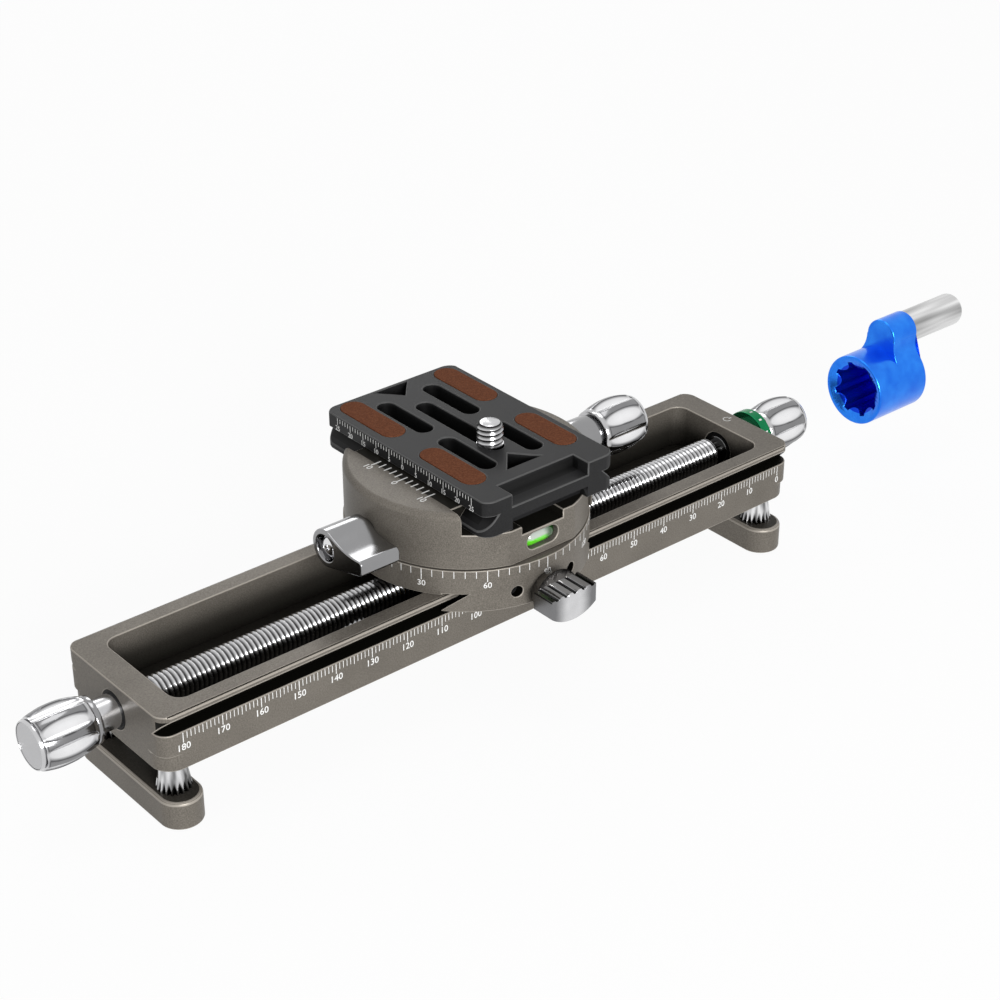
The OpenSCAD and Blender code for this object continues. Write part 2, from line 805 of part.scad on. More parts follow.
module pan_bearing() {
    color(satin_black) difference() {
        rod_z(seam_z - bearing_sink, pan_z - seat, bearing_out_r, carriage_x, 0);
        rod_z(seam_z - over, pan_z + over, bearing_in_r, carriage_x, 0);
    }
}

plate_x = carriage_x - fixed_jaw_d + jaw_clear + flange_w / 2;
flange_z = channel_floor + run;
flange_side = 1.3;
plate_gap = 0.2;
neck_rise = jaw_h + plate_gap - flange_side;
neck_w = flange_w - 2 * neck_rise;
body_low = channel_floor + jaw_h + plate_gap;
plate_top = channel_floor + plate_t;
lip_len = 1.24 * turret_r;
relief = 2.1;
groove_w = 12.3;
groove_low = channel_floor - 0.42 * jaw_h;
turret_edge = 1.6;
level_z = seam_z + 0.46 * channel_z;
level_depth = 5.4;
lever_z = seam_z + 0.492 * channel_z;
clamp_z = seam_z + 0.654 * channel_z;
shelf_z = seam_z + 0.26 * channel_z;
guide_r = 1.5;
guide_y = 0.55 * turret_r;
guide_z = shelf_z + 0.5 * (channel_floor - shelf_z);
guide_depth = 9;
jaw_move = 3;
clamp_reach = split_d - retainer_r - 8 * jaw_clear;
shoe_r = 2.2;
shoe_l = 3;
lever_stud_r = 2;

// Outline in X and Z of the room that the clamped plate needs below the jaws' top
module plate_room() {
    left = carriage_x - fixed_jaw_d;
    right = plate_x + flange_w / 2 + jaw_clear;
    rise = channel_floor + flange_side + jaw_clear * sqrt(2);
    top = channel_floor + jaw_h + over;
    polygon([
        [left, channel_floor], [right, channel_floor], [right, rise],
        [right - (top - rise), top], [left + (top - rise), top], [left, rise]
    ]);
}

// A drum with a rounded upper rim
module turret_solid(x, low) {
    tall = turret_top - low;
    translate([x, 0, low]) rotate_extrude() {
        square([turret_r - turret_edge, tall]);
        square([turret_r, tall - turret_edge]);
        translate([turret_r - turret_edge, tall - turret_edge]) circle(r = turret_edge);
    }
}

// A slab across the whole turret between two places along X and two levels
module slab(x0, x1, z0, z1) {
    block([x0, -turret_r - over, z0], [x1, turret_r + over, z1]);
}

// The jaws' lips end short of the turret's front and back
module relief_ends(x0, x1) {
    block([x0, -turret_r - over, channel_floor], [x1, -lip_len / 2, turret_top + over]);
    block([x0, lip_len / 2, channel_floor], [x1, turret_r + over, turret_top + over]);
}

module pan_body() {
    split = carriage_x + split_d;
    far = carriage_x + turret_r + over;
    near = carriage_x - turret_r - over;
    left = carriage_x - fixed_jaw_d;
    color(anodised) difference() {
        intersection() {
            turret_solid(carriage_x, pan_z);
            block([near, -flat_d, seam_z], [far, turret_r + over, turret_top + over]);
        }
        along_y(-turret_r - over, turret_r + over) plate_room();
        relief_ends(left - relief, left + jaw_h);
        slab(plate_x, far, channel_floor, turret_top + over);
        slab(split, far, shelf_z, channel_floor + over);
        slab(carriage_x - groove_w / 2, carriage_x + groove_w / 2, groove_low, channel_floor + over);
        rod_z(pan_z - over, channel_floor + over, pivot_r + run, carriage_x, 0);
        rod_z(pivot_top - run, channel_floor + over, retainer_r + run, carriage_x, 0);
        level_hole(level_w, level_h);
        rod_x(near, carriage_x, lever_stud_r + run, 0, lever_z);
        rod_x(carriage_x - pivot_r - shoe_l - run, carriage_x, shoe_r + seat, 0, lever_z);
        rod_x(split - clamp_reach - run, far, clamp_screw_r + run, 0, clamp_z);
        for (s = [-1, 1])
            rod_x(split - guide_depth - jaw_move, split + over, guide_r + run, s * guide_y, guide_z);
    }
}

// The level's round-ended window, cut in from the flat
module level_hole(width, height) {
    along_y(-flat_d - over, -flat_d + level_depth) level_outline(width, height);
}

module level_outline(width, height) {
    translate([carriage_x, level_z]) {
        square([width - height, height], center = true);
        for (s = [-1, 1]) translate([s * (width - height) / 2, 0]) circle(r = height / 2);
    }
}

// The vial is a tube with round ends, and its seat holds the back half
vial_r = level_h / 2 - 2 * seat;
vial_half = (level_w - level_h) / 2;
vial_y = -flat_d + vial_r + level_h / 16;

module vial_shape(r) {
    translate([carriage_x, vial_y, level_z]) rotate([0, 90, 0]) rotate_extrude() intersection() {
        translate([0, -vial_half - r]) square([r, 2 * (vial_half + r)]);
        union() {
            translate([-r, -vial_half]) square([2 * r, 2 * vial_half]);
            for (s = [-1, 1]) translate([0, s * vial_half]) circle(r = r);
        }
    }
}

module level_frame() {
    color(satin_black) difference() {
        along_y(vial_y, -flat_d + level_depth) level_outline(level_w - 2 * seat, level_h - 2 * seat);
        vial_shape(vial_r + seat / 2);
    }
}

module level_vial() {
    color([0.45, 0.85, 0.25]) vial_shape(vial_r);
}

module lock_shoe() {
    tip = carriage_x - pivot_r - run;
    color([0.78, 0.62, 0.30]) rod_x(tip - shoe_l + run, tip, shoe_r, 0, lever_z);
}

// Wing lever

wing_gap = wing_boss_r / 3;
wing_in = carriage_x - turret_r - wing_gap;
wing_out = wing_in - wing_w;
wing_tip_z = lever_z + 0.1 * wing_tip_t;
wing_tip_r = 0.3 * wing_tip_t;
wing_blend_r = 4 * wing_boss_r;
wing_hole_r = 0.69 * wing_boss_r;
wing_head_r = wing_hole_r - 3 * run;
wing_head_t = 0.5 * wing_boss_r;
wing_hole_d = 0.6 * wing_boss_r;

// A round boss, a blunt tip with two round corners, a hollow upper side and a straight lower side
module wing_outline() {
    boss_at = [0, lever_z];
    high_at = [wing_tip_r - wing_reach, wing_tip_z + wing_tip_t / 2 - wing_tip_r];
    low_at = [wing_tip_r - wing_reach, wing_tip_z - wing_tip_t / 2 + wing_tip_r];
    // The hollow touches the boss and the tip's upper corner from outside
    gap = norm(high_at - boss_at);
    reach_boss = wing_boss_r + wing_blend_r;
    reach_tip = wing_tip_r + wing_blend_r;
    along = (reach_boss ^ 2 - reach_tip ^ 2 + gap ^ 2) / (2 * gap);
    toward = (high_at - boss_at) / gap;
    up = [toward[1], -toward[0]];
    hollow_at = boss_at + along * toward + sqrt(reach_boss ^ 2 - along ^ 2) * up;
    // The lower side touches the boss and the tip's lower corner
    aim = atan2(low_at[1] - boss_at[1], low_at[0] - boss_at[0]);
    turn = acos((wing_boss_r - wing_tip_r) / norm(low_at - boss_at));
    below = [cos(aim + turn), sin(aim + turn)];
    translate(boss_at) circle(r = wing_boss_r);
    for (q = [high_at, low_at]) translate(q) circle(r = wing_tip_r);
    difference() {
        polygon([
            boss_at, boss_at + wing_boss_r * (hollow_at - boss_at) / reach_boss, hollow_at,
            high_at + wing_tip_r * (hollow_at - high_at) / reach_tip, high_at,
            [-wing_reach, high_at[1]], [-wing_reach, low_at[1]], low_at,
            low_at + wing_tip_r * below, boss_at + wing_boss_r * below
        ]);
        translate(hollow_at) circle(r = wing_blend_r);
    }
}

module wing_lever() {
    color(steel) difference() {
        union() {
            along_x(wing_out, wing_in) wing_outline();
            rod_x(wing_in - wing_gap, wing_in + wing_gap - run, 0.7 * wing_boss_r, 0, lever_z);
        }
        rod_x(wing_out - over, wing_out + wing_hole_d, wing_hole_r, 0, lever_z);
        rod_x(wing_out, carriage_x, lever_stud_r + seat, 0, lever_z);
    }
}

module wing_screw() {
    low = wing_out + wing_hole_d - wing_head_t;
    socket = wing_head_r / 2;
    color(steel) difference() {
        rod_x(low, wing_out + wing_hole_d - seat, wing_head_r, 0, lever_z);
        translate([low, 0, lever_z]) rotate([0, 90, 0]) cylinder(r = socket, h = wing_head_t, center = true, $fn = 6);
    }
}

module wing_stud() {
    color(steel) rod_x(wing_out + wing_hole_d, carriage_x - pivot_r - shoe_l - run - seat, lever_stud_r, 0, lever_z);
}

// Clamp

jaw_x = carriage_x + jaw_open;
jaw_in = carriage_x + split_d + jaw_open;
jaw_outer = jaw_x + turret_r;
clamp_sleeve_x = jaw_outer + run;
clamp_knob_x = jaw_outer + clamp_stem_l;
sleeve_r = 0.9 * knob_end_r;
sleeve_gap = 0.18 * knob_end_r;
clamp_spigot_r = min(spigot_r, clamp_screw_r) - 3 * run;
guide_pin_end = jaw_x + sqrt(turret_r * turret_r - (guide_y + guide_r) ^ 2) - guide_r;

module clamp_jaw() {
    far = jaw_outer + over;
    color(anodised) difference() {
        intersection() {
            turret_solid(jaw_x, shelf_z + run);
            block([plate_x, -flat_d, shelf_z], [far, turret_r + over, turret_top + over]);
        }
        slab(plate_x - over, jaw_in, shelf_z - over, channel_floor + flange_side / 2);
        along_y(-turret_r - over, turret_r + over) plate_room();
        relief_ends(plate_x - over, plate_x + flange_w / 2 + jaw_clear + relief);
        rod_x(plate_x, far, clamp_screw_r + run, 0, clamp_z);
        for (s = [-1, 1]) rod_x(plate_x, guide_pin_end + seat, guide_r + seat, s * guide_y, guide_z);
    }
}

module jaw_guide_pins() {
    color(steel) for (s = [-1, 1])
        rod_x(carriage_x + split_d - guide_depth, guide_pin_end, guide_r, s * guide_y, guide_z);
}

module clamp_screw() {
    tip = carriage_x + split_d - clamp_reach + jaw_move / 2;
    color(steel) {
        rod_x(tip, clamp_sleeve_x, clamp_screw_r, 0, clamp_z);
        rod_x(clamp_sleeve_x, clamp_knob_x + spigot_depth, clamp_spigot_r, 0, clamp_z);
    }
}

module clamp_collar() {
    step_x = clamp_knob_x - sleeve_gap;
    color(steel) difference() {
        union() {
            rod_x(clamp_sleeve_x, step_x, sleeve_r, 0, clamp_z);
            rod_x(clamp_sleeve_x, clamp_knob_x - seat, 0.8 * sleeve_r, 0, clamp_z);
        }
        rod_x(clamp_sleeve_x - over, clamp_knob_x + over, clamp_spigot_r + seat, 0, clamp_z);
    }
}

module clamp_knob() {
    color(steel) translate([clamp_knob_x, 0, clamp_z]) rotate([0, 90, 0]) knob(clamp_spigot_r + seat);
}

module clamp_knob_cap() {
    color(steel) translate([clamp_knob_x, 0, clamp_z]) rotate([0, 90, 0]) knob_cap();
}

// Quick-release plate

notch_x0 = plate_x - 0.3 * plate_w;
notch_x1 = plate_x + 0.284 * plate_w;
notch_d = 5.4;
bar_top = plate_top - 0.35 * plate_t;
bar_low = plate_top - 0.674 * plate_t;
pocket_depth = 0.55 * plate_t;
pad_w = 6.3;
pad_t_cork = 1;
pad_high = 0.15;

// Middle, in shares of the plate's width and length, and length share of each long pocket
pocket_shares = [[-0.186, 0.242, 0.31], [0.184, 0.248, 0.313], [-0.184, -0.142, 0.306], [0.18, -0.149, 0.285]];
// The same for the four pads
pad_shares = [[-0.354, 0.309, 0.353], [0.379, 0.31, 0.343], [-0.353, -0.188, 0.336], [0.372, -0.187, 0.311]];
// Corners of one triangular recess, and the places and directions of the two
triangle_shares = [[-0.13, 0.075], [0.13, 0.075], [0, -0.075]];
triangle_places_share = [0.44, -0.29];

slot_top_share = 0.30;
slot_low_share = -0.2;
stud_x = plate_x;
stud_y = plate_y - 0.137 * plate_l;
stud_head_r = 4.6;
stud_head_t = 2.6;
stud_neck_r = 0.5 * slot_w - run;
stud_low = flange_z + run;
stud_washer_z = stud_low + stud_head_t + run;
stud_washer_t = 0.2 * stud_head_t;
stud_recess_z = stud_washer_z + stud_washer_t + run;

module plate_outline() {
    half = plate_w / 2;
    low = flange_z;
    flange = flange_w / 2;
    neck = neck_w / 2;
    side = channel_floor + flange_side;
    polygon([
        [plate_x - flange, low], [plate_x + flange, low], [plate_x + flange, side],
        [plate_x + neck, body_low], [plate_x + half, body_low], [plate_x + half, plate_top],
        [plate_x - half, plate_top], [plate_x - half, body_low], [plate_x - neck, body_low],
        [plate_x - flange, side]
    ]);
}

module qr_plate() {
    front = plate_y - plate_l / 2;
    back = plate_y + plate_l / 2;
    color(satin_black) difference() {
        intersection() {
            along_y(front, back) plate_outline();
            translate([plate_x, plate_y, flange_z]) linear_extrude(height = plate_t)
                round_rect(flange_w, plate_l, plate_corner_r);
        }
        block([notch_x0, front - over, bar_top], [notch_x1, front + notch_d, plate_top + over]);
        block([notch_x0, front - over, flange_z - over], [notch_x1, front + notch_d / 2, bar_low]);
        translate([plate_x, plate_y, plate_top - pocket_depth]) linear_extrude(height = plate_t)
            for (p = pocket_shares) slot_y(p[0] * plate_w, (p[1] - p[2] / 2) * plate_l,
                (p[1] + p[2] / 2) * plate_l, slot_w);
        translate([plate_x, plate_y, flange_z - over]) linear_extrude(height = plate_t + 2 * over)
            slot_y(0, slot_low_share * plate_l, slot_top_share * plate_l, slot_w);
        translate([plate_x, plate_y, flange_z - over])
            linear_extrude(height = stud_recess_z - flange_z + over)
                slot_y(0, slot_low_share * plate_l - stud_head_r, slot_top_share * plate_l + stud_head_r / 2,
                    2 * (stud_head_r + run));
        for (s = [-1, 1]) translate([plate_x, plate_y, plate_top - pocket_depth])
            linear_extrude(height = plate_t) polygon([for (q = triangle_shares)
                [q[0] * plate_w, (s > 0 ? triangle_places_share[0] : triangle_places_share[1]) * plate_l
                    + s * q[1] * plate_w]]);
        translate([plate_x, plate_y, plate_top - pad_t_cork + pad_high - seat])
            linear_extrude(height = plate_t) pad_outlines(pad_w + 2 * seat);
    }
}

module pad_outlines(width) {
    for (p = pad_shares) slot_y(p[0] * plate_w, (p[1] - p[2] / 2) * plate_l - (width - pad_w) / 2,
        (p[1] + p[2] / 2) * plate_l + (width - pad_w) / 2, width);
}

module plate_pads() {
    color(cork) translate([plate_x, plate_y, plate_top - pad_t_cork + pad_high])
        linear_extrude(height = pad_t_cork) pad_outlines(pad_w);
}

stud_edge = 0.7;

module stud_washer() {
    color(satin_black) difference() {
        rod_z(stud_washer_z, stud_washer_z + stud_washer_t, stud_head_r, stud_x, stud_y);
        rod_z(stud_washer_z - over, stud_washer_z + over, stud_neck_r + run, stud_x, stud_y);
    }
}

module camera_stud() {
    top = plate_top + stud_h;
    color(steel) difference() {
        union() {
            rod_z(stud_low, stud_low + stud_head_t, stud_head_r, stud_x, stud_y);
            rod_z(stud_low, plate_top + 2 * run, stud_neck_r, stud_x, stud_y);
            rod_z(plate_top + run, top - stud_edge, stud_r, stud_x, stud_y);
            translate([stud_x, stud_y, top - stud_edge])
                cylinder(r1 = stud_r, r2 = stud_r - stud_edge, h = stud_edge);
        }
        translate([stud_x - stud_head_r, stud_y - stud_head_t / 4, stud_low - over])
            cube([2 * stud_head_r, stud_head_t / 2, over + stud_head_t / 2]);
    }
}

rail_body();
left_bearing();
right_bearing();
left_foot();
right_foot();
foot_pads();
foot_screws();
front_left_foot_nut();
back_left_foot_nut();
front_right_foot_nut();
back_right_foot_nut();
lead_screw();
left_collar();
left_knob();
left_knob_cap();
thrust_collar();
dial_ring();
right_collar();
right_knob();
right_knob_cap();
crank_socket();
crank_handle();
crank_handle_pin();
carriage_base();
drive_nut();
drive_nut_screws();
gib_strip();
gib_screws();
pan_pivot();
pan_retainer();
pivot_screw();
lock_knob();
lock_stem();
pan_bearing();
pan_body();
level_frame();
level_vial();
lock_shoe();
wing_lever();
wing_screw();
wing_stud();
clamp_jaw();
jaw_guide_pins();
clamp_screw();
clamp_collar();
clamp_knob();
clamp_knob_cap();
qr_plate();
plate_pads();
stud_washer();
camera_stud();
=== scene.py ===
# %% [markdown]
# # A macro focusing rail, dressed
# This rail moves a camera a fraction of a millimetre at a time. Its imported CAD
# model comes in as a fixed frame: every node is at its real place and size, in
# metres. The script gives each surface its finish, breaks the edges that a
# machinist would break, and adds what is cut or printed on the metal, such as
# threads, scales and numbers. Lengths below are in millimetres, and MM turns them
# into metres where a shape or a texture is made.

import json
import math

import bmesh
import bpy
from mathutils import Matrix, Vector
from mathutils.bvhtree import BVHTree


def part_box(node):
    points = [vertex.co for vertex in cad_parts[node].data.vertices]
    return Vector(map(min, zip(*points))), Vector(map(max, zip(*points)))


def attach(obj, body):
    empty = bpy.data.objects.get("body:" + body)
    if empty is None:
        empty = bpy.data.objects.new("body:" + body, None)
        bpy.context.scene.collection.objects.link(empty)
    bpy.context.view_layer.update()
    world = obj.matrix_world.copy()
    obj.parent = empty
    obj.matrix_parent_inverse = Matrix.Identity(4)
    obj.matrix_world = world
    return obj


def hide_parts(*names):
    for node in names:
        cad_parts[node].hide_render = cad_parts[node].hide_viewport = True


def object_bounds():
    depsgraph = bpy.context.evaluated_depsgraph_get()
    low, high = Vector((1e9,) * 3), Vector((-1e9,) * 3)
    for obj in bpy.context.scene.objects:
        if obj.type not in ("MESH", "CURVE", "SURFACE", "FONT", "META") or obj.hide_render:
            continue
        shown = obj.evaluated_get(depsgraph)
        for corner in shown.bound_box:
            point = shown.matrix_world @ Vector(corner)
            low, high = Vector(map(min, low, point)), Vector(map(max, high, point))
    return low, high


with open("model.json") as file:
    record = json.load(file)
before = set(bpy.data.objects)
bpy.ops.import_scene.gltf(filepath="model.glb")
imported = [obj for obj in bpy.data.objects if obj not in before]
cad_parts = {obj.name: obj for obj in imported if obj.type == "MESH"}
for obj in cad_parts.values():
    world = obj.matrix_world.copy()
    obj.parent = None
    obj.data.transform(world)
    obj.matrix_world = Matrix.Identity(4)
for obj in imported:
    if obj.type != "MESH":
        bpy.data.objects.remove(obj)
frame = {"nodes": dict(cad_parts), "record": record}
cad_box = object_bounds()
record = frame["record"]
MM = 0.001
body_of_node = {n: b for b, nodes in record["behaviour"]["bodies"].items() for n in nodes}
slot_of_node = {s["node"]: s["material_slot"] for s in record["subparts"]}
print("nodes", len(body_of_node), "box", [round(c / MM, 1) for c in cad_box[1] - cad_box[0]])

# %% [markdown]
# ## The camera
# The rail is seen from its front left, a little above. Its engraved scale gave
# enough known points to fit the camera's place, so these numbers are measured
# rather than set by eye. The lens is written in millimetres on a 36 mm sensor.

# %% Camera
camera_data = bpy.data.cameras.new("camera")
camera_data.lens = 80.08
camera_data.sensor_width = 36
camera_data.clip_start = 0.02
camera_data.clip_end = 20
camera = bpy.data.objects.new("camera", camera_data)
camera.location = (-0.28476, -0.35473, 0.28421)
camera.rotation_euler = (math.radians(60.25), 0, math.radians(-40.09))
bpy.context.scene.collection.objects.link(camera)
bpy.context.scene.camera = camera
print("camera", round(camera.location.length, 3), "m from the rail's middle")

# %% [markdown]
# ## Shader arithmetic
# A pattern on metal is a sum of simple ones, and in the editor each sum is a Math
# node with its links. A socket wrapped in a small class can be added and
# multiplied like a number instead, and each operator adds its Math node. The
# reflected forms let a plain number stand first, as in 1 - mask.

# %% A socket that does arithmetic
class Value:
    def __init__(self, nodes, socket):
        self.nodes = nodes
        self.socket = socket

    def maths(self, operation, first, second=0.0):
        return self.nodes.node("Math", {"operation": operation}, {0: first, 1: second})

    def __add__(self, other):
        return self.maths("ADD", self, other)

    def __radd__(self, other):
        return self.maths("ADD", other, self)

    def __sub__(self, other):
        return self.maths("SUBTRACT", self, other)

    def __rsub__(self, other):
        return self.maths("SUBTRACT", other, self)

    def __mul__(self, other):
        return self.maths("MULTIPLY", self, other)

    def __rmul__(self, other):
        return self.maths("MULTIPLY", other, self)

    def __gt__(self, other):
        return self.maths("GREATER_THAN", self, other)

    def __lt__(self, other):
        return self.maths("LESS_THAN", self, other)

    def __abs__(self):
        return self.maths("ABSOLUTE", self)

    def root(self):
        return self.maths("SQRT", self)


# %% [markdown]
# ## One way to make nodes
# Every node comes from one method. It takes the node's type, the settings that
# must come first, such as a ramp's stops, and the values or links of its sockets,
# and gives back one output, ready for arithmetic. The floor and the world use it
# as the finishes do.

# %% The nodes of one tree
class Nodes:
    def __init__(self, tree):
        self.tree = tree

    def node(self, kind, settings=None, inputs=None, output=0):
        made = self.tree.nodes.new("ShaderNode" + kind)
        for key, value in (settings or {}).items():
            if key == "stops":
                self.set_stops(made.color_ramp, value)
            else:
                setattr(made, key, value)
        for key, value in (inputs or {}).items():
            self.feed(made.inputs[key], value)
        return Value(self, made.outputs[output])

    def all_outputs(self, kind, inputs=None):
        made = self.node(kind, {}, inputs).socket.node
        return {out.name: Value(self, out) for out in made.outputs}

    def set_stops(self, ramp, stops):
        while len(ramp.elements) < len(stops):
            ramp.elements.new(1.0)
        for element, (place, colour) in zip(ramp.elements, stops):
            element.position = place
            element.color = (*colour, 1)

    def feed(self, socket, value):
        if isinstance(value, Value):
            self.tree.links.new(value.socket, socket)
        elif socket.type == "RGBA":
            socket.default_value = (*value, 1)
        else:
            socket.default_value = value


# %% [markdown]
# ## A finish
# A finish is one Principled material, which can stand for metal, paint and rubber
# alike. Patterns read Object coordinates, so they are in real size and stay on the
# piece when it moves. Two ramps serve every recipe: spread turns a noise into a
# range of values, and fade rises smoothly from one place to another.

# %% A finish and its helpers
class Finish(Nodes):
    def __init__(self, name, roughness, metallic=0.0):
        self.material = bpy.data.materials.new(name)
        self.material.use_nodes = True
        super().__init__(self.material.node_tree)
        self.shader = self.tree.nodes["Principled BSDF"]
        self.set("Roughness", roughness)
        self.set("Metallic", metallic)
        self.place = self.node("TexCoord", {}, {}, "Object")

    def set(self, name, value):
        self.feed(self.shader.inputs[name], value)

    def noise(self, size, detail=2.0, place=None):
        values = {"Vector": place or self.place, "Scale": 1 / (size * MM), "Detail": detail}
        return self.node("TexNoise", {}, values)

    def spread(self, amount, low, high):
        return self.node("MapRange", {}, {"Value": amount, "To Min": low, "To Max": high})

    def fade(self, amount, start, end):
        return self.node("MapRange", {"interpolation_type": "SMOOTHSTEP"},
                         {"Value": amount, "From Min": start, "From Max": end})

    def split(self, place=None):
        return list(self.all_outputs("SeparateXYZ", {0: place or self.place}).values())

    def distance(self, first, second):
        return (first * first + second * second).root()

    def within(self, amount, low, high):
        return (amount > low) * (amount < high)

    def carried(self, name):
        return self.node("Attribute", {"attribute_name": name}, {}, "Fac")

    def mix(self, amount, first, second):
        return self.node("Mix", {"data_type": "RGBA"}, {0: amount, 6: first, 7: second}, 2)

    def bump(self, height, strength, depth):
        values = {"Height": height, "Strength": strength, "Distance": depth * MM}
        self.set("Normal", self.node("Bump", {}, values))


def grey(level, tint=0.0):
    return (level, level, level + tint)


# %% [markdown]
# ## Bead-blasted anodised aluminium
# The rail, the carriage and the feet were blasted with fine glass beads and then anodised a warm
# grey. A photo texture could give that, but two noises stay sharp at any distance: a fine one for
# the dimples and a slow one for the cloudiness of the dye. The dye dulls the metal, so it is only a
# third metallic. The bevels made further down carry a mark, and the colour is lighter there: partly
# edges rubbed bare by handling, partly a painted highlight along each edge.

# %% Warm grey anodising
GREY_DARK, GREY_LIGHT = (0.088, 0.079, 0.067), (0.215, 0.196, 0.170)
GREY_WORN_HIGHLIT, GREY_SHADE = (0.36, 0.33, 0.29), (0.003, 0.003, 0.002)


# Bevelled edges get a lighter colour, partly edges rubbed bare and partly a painted highlight.
def worn_edges(finish, colour, bare_and_highlit):
    return finish.mix(finish.carried("worn") * 0.85, colour, bare_and_highlit)


def blasted_aluminium(name, shade=None):
    finish = Finish(name, 0.42, 0.3)
    finish.set("Specular IOR Level", 0.1)
    grains = finish.noise(0.28, 1.0)
    cloud = finish.noise(14.0)
    colour = finish.mix(grains * 1.3 + cloud * 0.5 - 0.4, GREY_DARK, GREY_LIGHT)
    # Painted shade: the colour goes towards near-black where the given mask is high.
    if shade:
        colour = finish.mix(shade(finish), colour, GREY_SHADE)
    finish.set("Base Color", worn_edges(finish, colour, GREY_WORN_HIGHLIT))
    finish.set("Roughness", finish.spread(grains, 0.35, 0.49))
    finish.bump(grains, 0.3, 0.04)
    return finish.material


warm_grey = blasted_aluminium("warm_grey_anodised")
print("finish", warm_grey.name)

# %% [markdown]
# ## Where the grey sinks to black
# The rail's pocket and side grooves, and the top of each foot under the rail, are given painted
# shade, a darker colour where little light reaches. A point's place tells how deep it lies, so each
# painted shade is a sum of plain limits along, across and up: the pocket darkens downwards, and the
# grooves are dark all over.

# %% Shade in the rail and under it
POCKET_WALL, POCKET_TOP, POCKET_DEEP = 14.9, 14.1, 7
GROOVE_WALL, GROOVE_LOW, GROOVE_HIGH = 15.8, 9.4, 13.15
RAIL_FACE, RAIL_HALF = 19.2, 94.8


# Painted shade: darker downwards in the pocket, dark all over in the side grooves.
def rail_shade(finish):
    along, across, up = finish.split()
    side = abs(across)
    in_pocket = (side < POCKET_WALL * MM) * finish.fade(up, POCKET_TOP * MM, POCKET_DEEP * MM)
    in_groove = (finish.within(side, GROOVE_WALL * MM, RAIL_FACE * MM)
                 * finish.within(up, GROOVE_LOW * MM, GROOVE_HIGH * MM))
    return (in_pocket * 0.8 + in_groove * 0.98) * (abs(along) < RAIL_HALF * MM)


# Painted shade on the top face of each foot, under the rail.
def foot_shade(finish):
    up = finish.split()[2]
    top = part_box("left_foot")[1].z
    return finish.fade(up, top - 0.2 * MM, top - 0.05 * MM) * 0.7


rail_grey = blasted_aluminium("rail_grey_anodised", rail_shade)
foot_grey = blasted_aluminium("foot_grey_anodised", foot_shade)
print("finishes", rail_grey.name, foot_grey.name)

# %% [markdown]
# ## Shade in the carriage
# The two set screws sit in holes that catch little light, and the channel in the
# turret is covered by the plate. Both are found from their nodes' own boxes, and a
# thin skin of the turret's outside is left out, so that only the inside darkens.

# %% Shade in the holes and the channel
HOLE_RIM, SKIN = 1.12, 0.35
CHANNEL_LEFT, CHANNEL_RIGHT, CHANNEL_LOW = -15.5, 22.5, 27.7


def screw_hole_shade(finish):
    along, across, up = finish.split()
    low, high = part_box("gib_screws")
    radius = (high.z - low.z) / 2
    level = up - (high.z + low.z) / 2
    left, right = (finish.distance(along - middle, level) < radius * HOLE_RIM
                   for middle in (low.x + radius, high.x - radius))
    return (left + right) * (across < low.y + 0.5 * MM)


def channel_shade(finish):
    along, across, up = finish.split()
    low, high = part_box("pan_body")
    out = finish.distance(along - (low.x + high.x) / 2, across)
    inside = (out < (high.x - low.x) / 2 - SKIN * MM) * (across > low.y + SKIN * MM)
    in_channel = finish.within(along, CHANNEL_LEFT * MM, CHANNEL_RIGHT * MM)
    return in_channel * (up > CHANNEL_LOW * MM) * inside * 0.93


base_grey = blasted_aluminium("base_grey_anodised", screw_hole_shade)
turret_grey = blasted_aluminium("turret_grey_anodised", channel_shade)
print("finishes", base_grey.name, turret_grey.name)

# %% [markdown]
# ## Satin black anodising
# The quick-release plate is the same metal, finer blasted and dyed black. A pure black would look
# like a hole, so the dye is a deep grey with a broad, soft gloss, and the walls of the slots get a
# painted shade that sinks them to black.

# %% Satin black
SLOTS_HALF, SLOTS_FRONT, SLOTS_BACK = 18.7, -23.5, 1.5


def slot_shade(finish):
    along, across, up = finish.split()
    low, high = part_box("qr_plate")
    inside = ((abs(along - (low.x + high.x) / 2) < SLOTS_HALF * MM)
              * finish.within(across, SLOTS_FRONT * MM, high.y - SLOTS_BACK * MM))
    return inside * finish.fade(up, high.z - 0.3 * MM, high.z - 1.3 * MM) * 0.85


def satin_black(name):
    finish = Finish(name, 0.5)
    finish.set("Specular IOR Level", 0.18)
    grains = finish.noise(0.3, 1.0)
    colour = finish.mix(grains, grey(0.004), grey(0.017, 0.001))
    # Painted shade: the walls of the slots sink to near-black.
    colour = finish.mix(slot_shade(finish), colour, grey(0.001))
    finish.set("Base Color", worn_edges(finish, colour, grey(0.085)))
    finish.set("Roughness", finish.spread(grains, 0.44, 0.58))
    finish.bump(grains, 0.22, 0.03)
    return finish.material


plate_black = satin_black("satin_black_anodised")
print("finish", plate_black.name)

# %% [markdown]
# ## Bright metal
# The knobs and levers are plated and polished, and the screws are turned steel.
# In a white studio a mirror shows only white, so each metal has a darker base, and
# the lamps draw its highlights. A stretched noise gives the faint lines that
# polishing or turning leaves, and the crank's handle shows them as streaks.

# %% Chrome, steel and brass
def bright_metal(name, colour, smooth, rough, stretch, depth, streaks=0.0):
    finish = Finish(name, rough, 1.0)
    squeezed = finish.node("Mapping", {}, {"Vector": finish.place, "Scale": stretch})
    lines = finish.noise(0.5, 2.0, squeezed)
    haze = finish.noise(5.0)
    darker = tuple(c * (0.9 - 0.75 * streaks) for c in colour)
    tone = (lines * 3.0 - 1.0) * streaks + haze * (1 - streaks)
    finish.set("Base Color", finish.mix(tone, darker, colour))
    finish.set("Roughness", finish.spread(lines, smooth, rough))
    finish.bump(lines, 0.12, depth)
    return finish.material


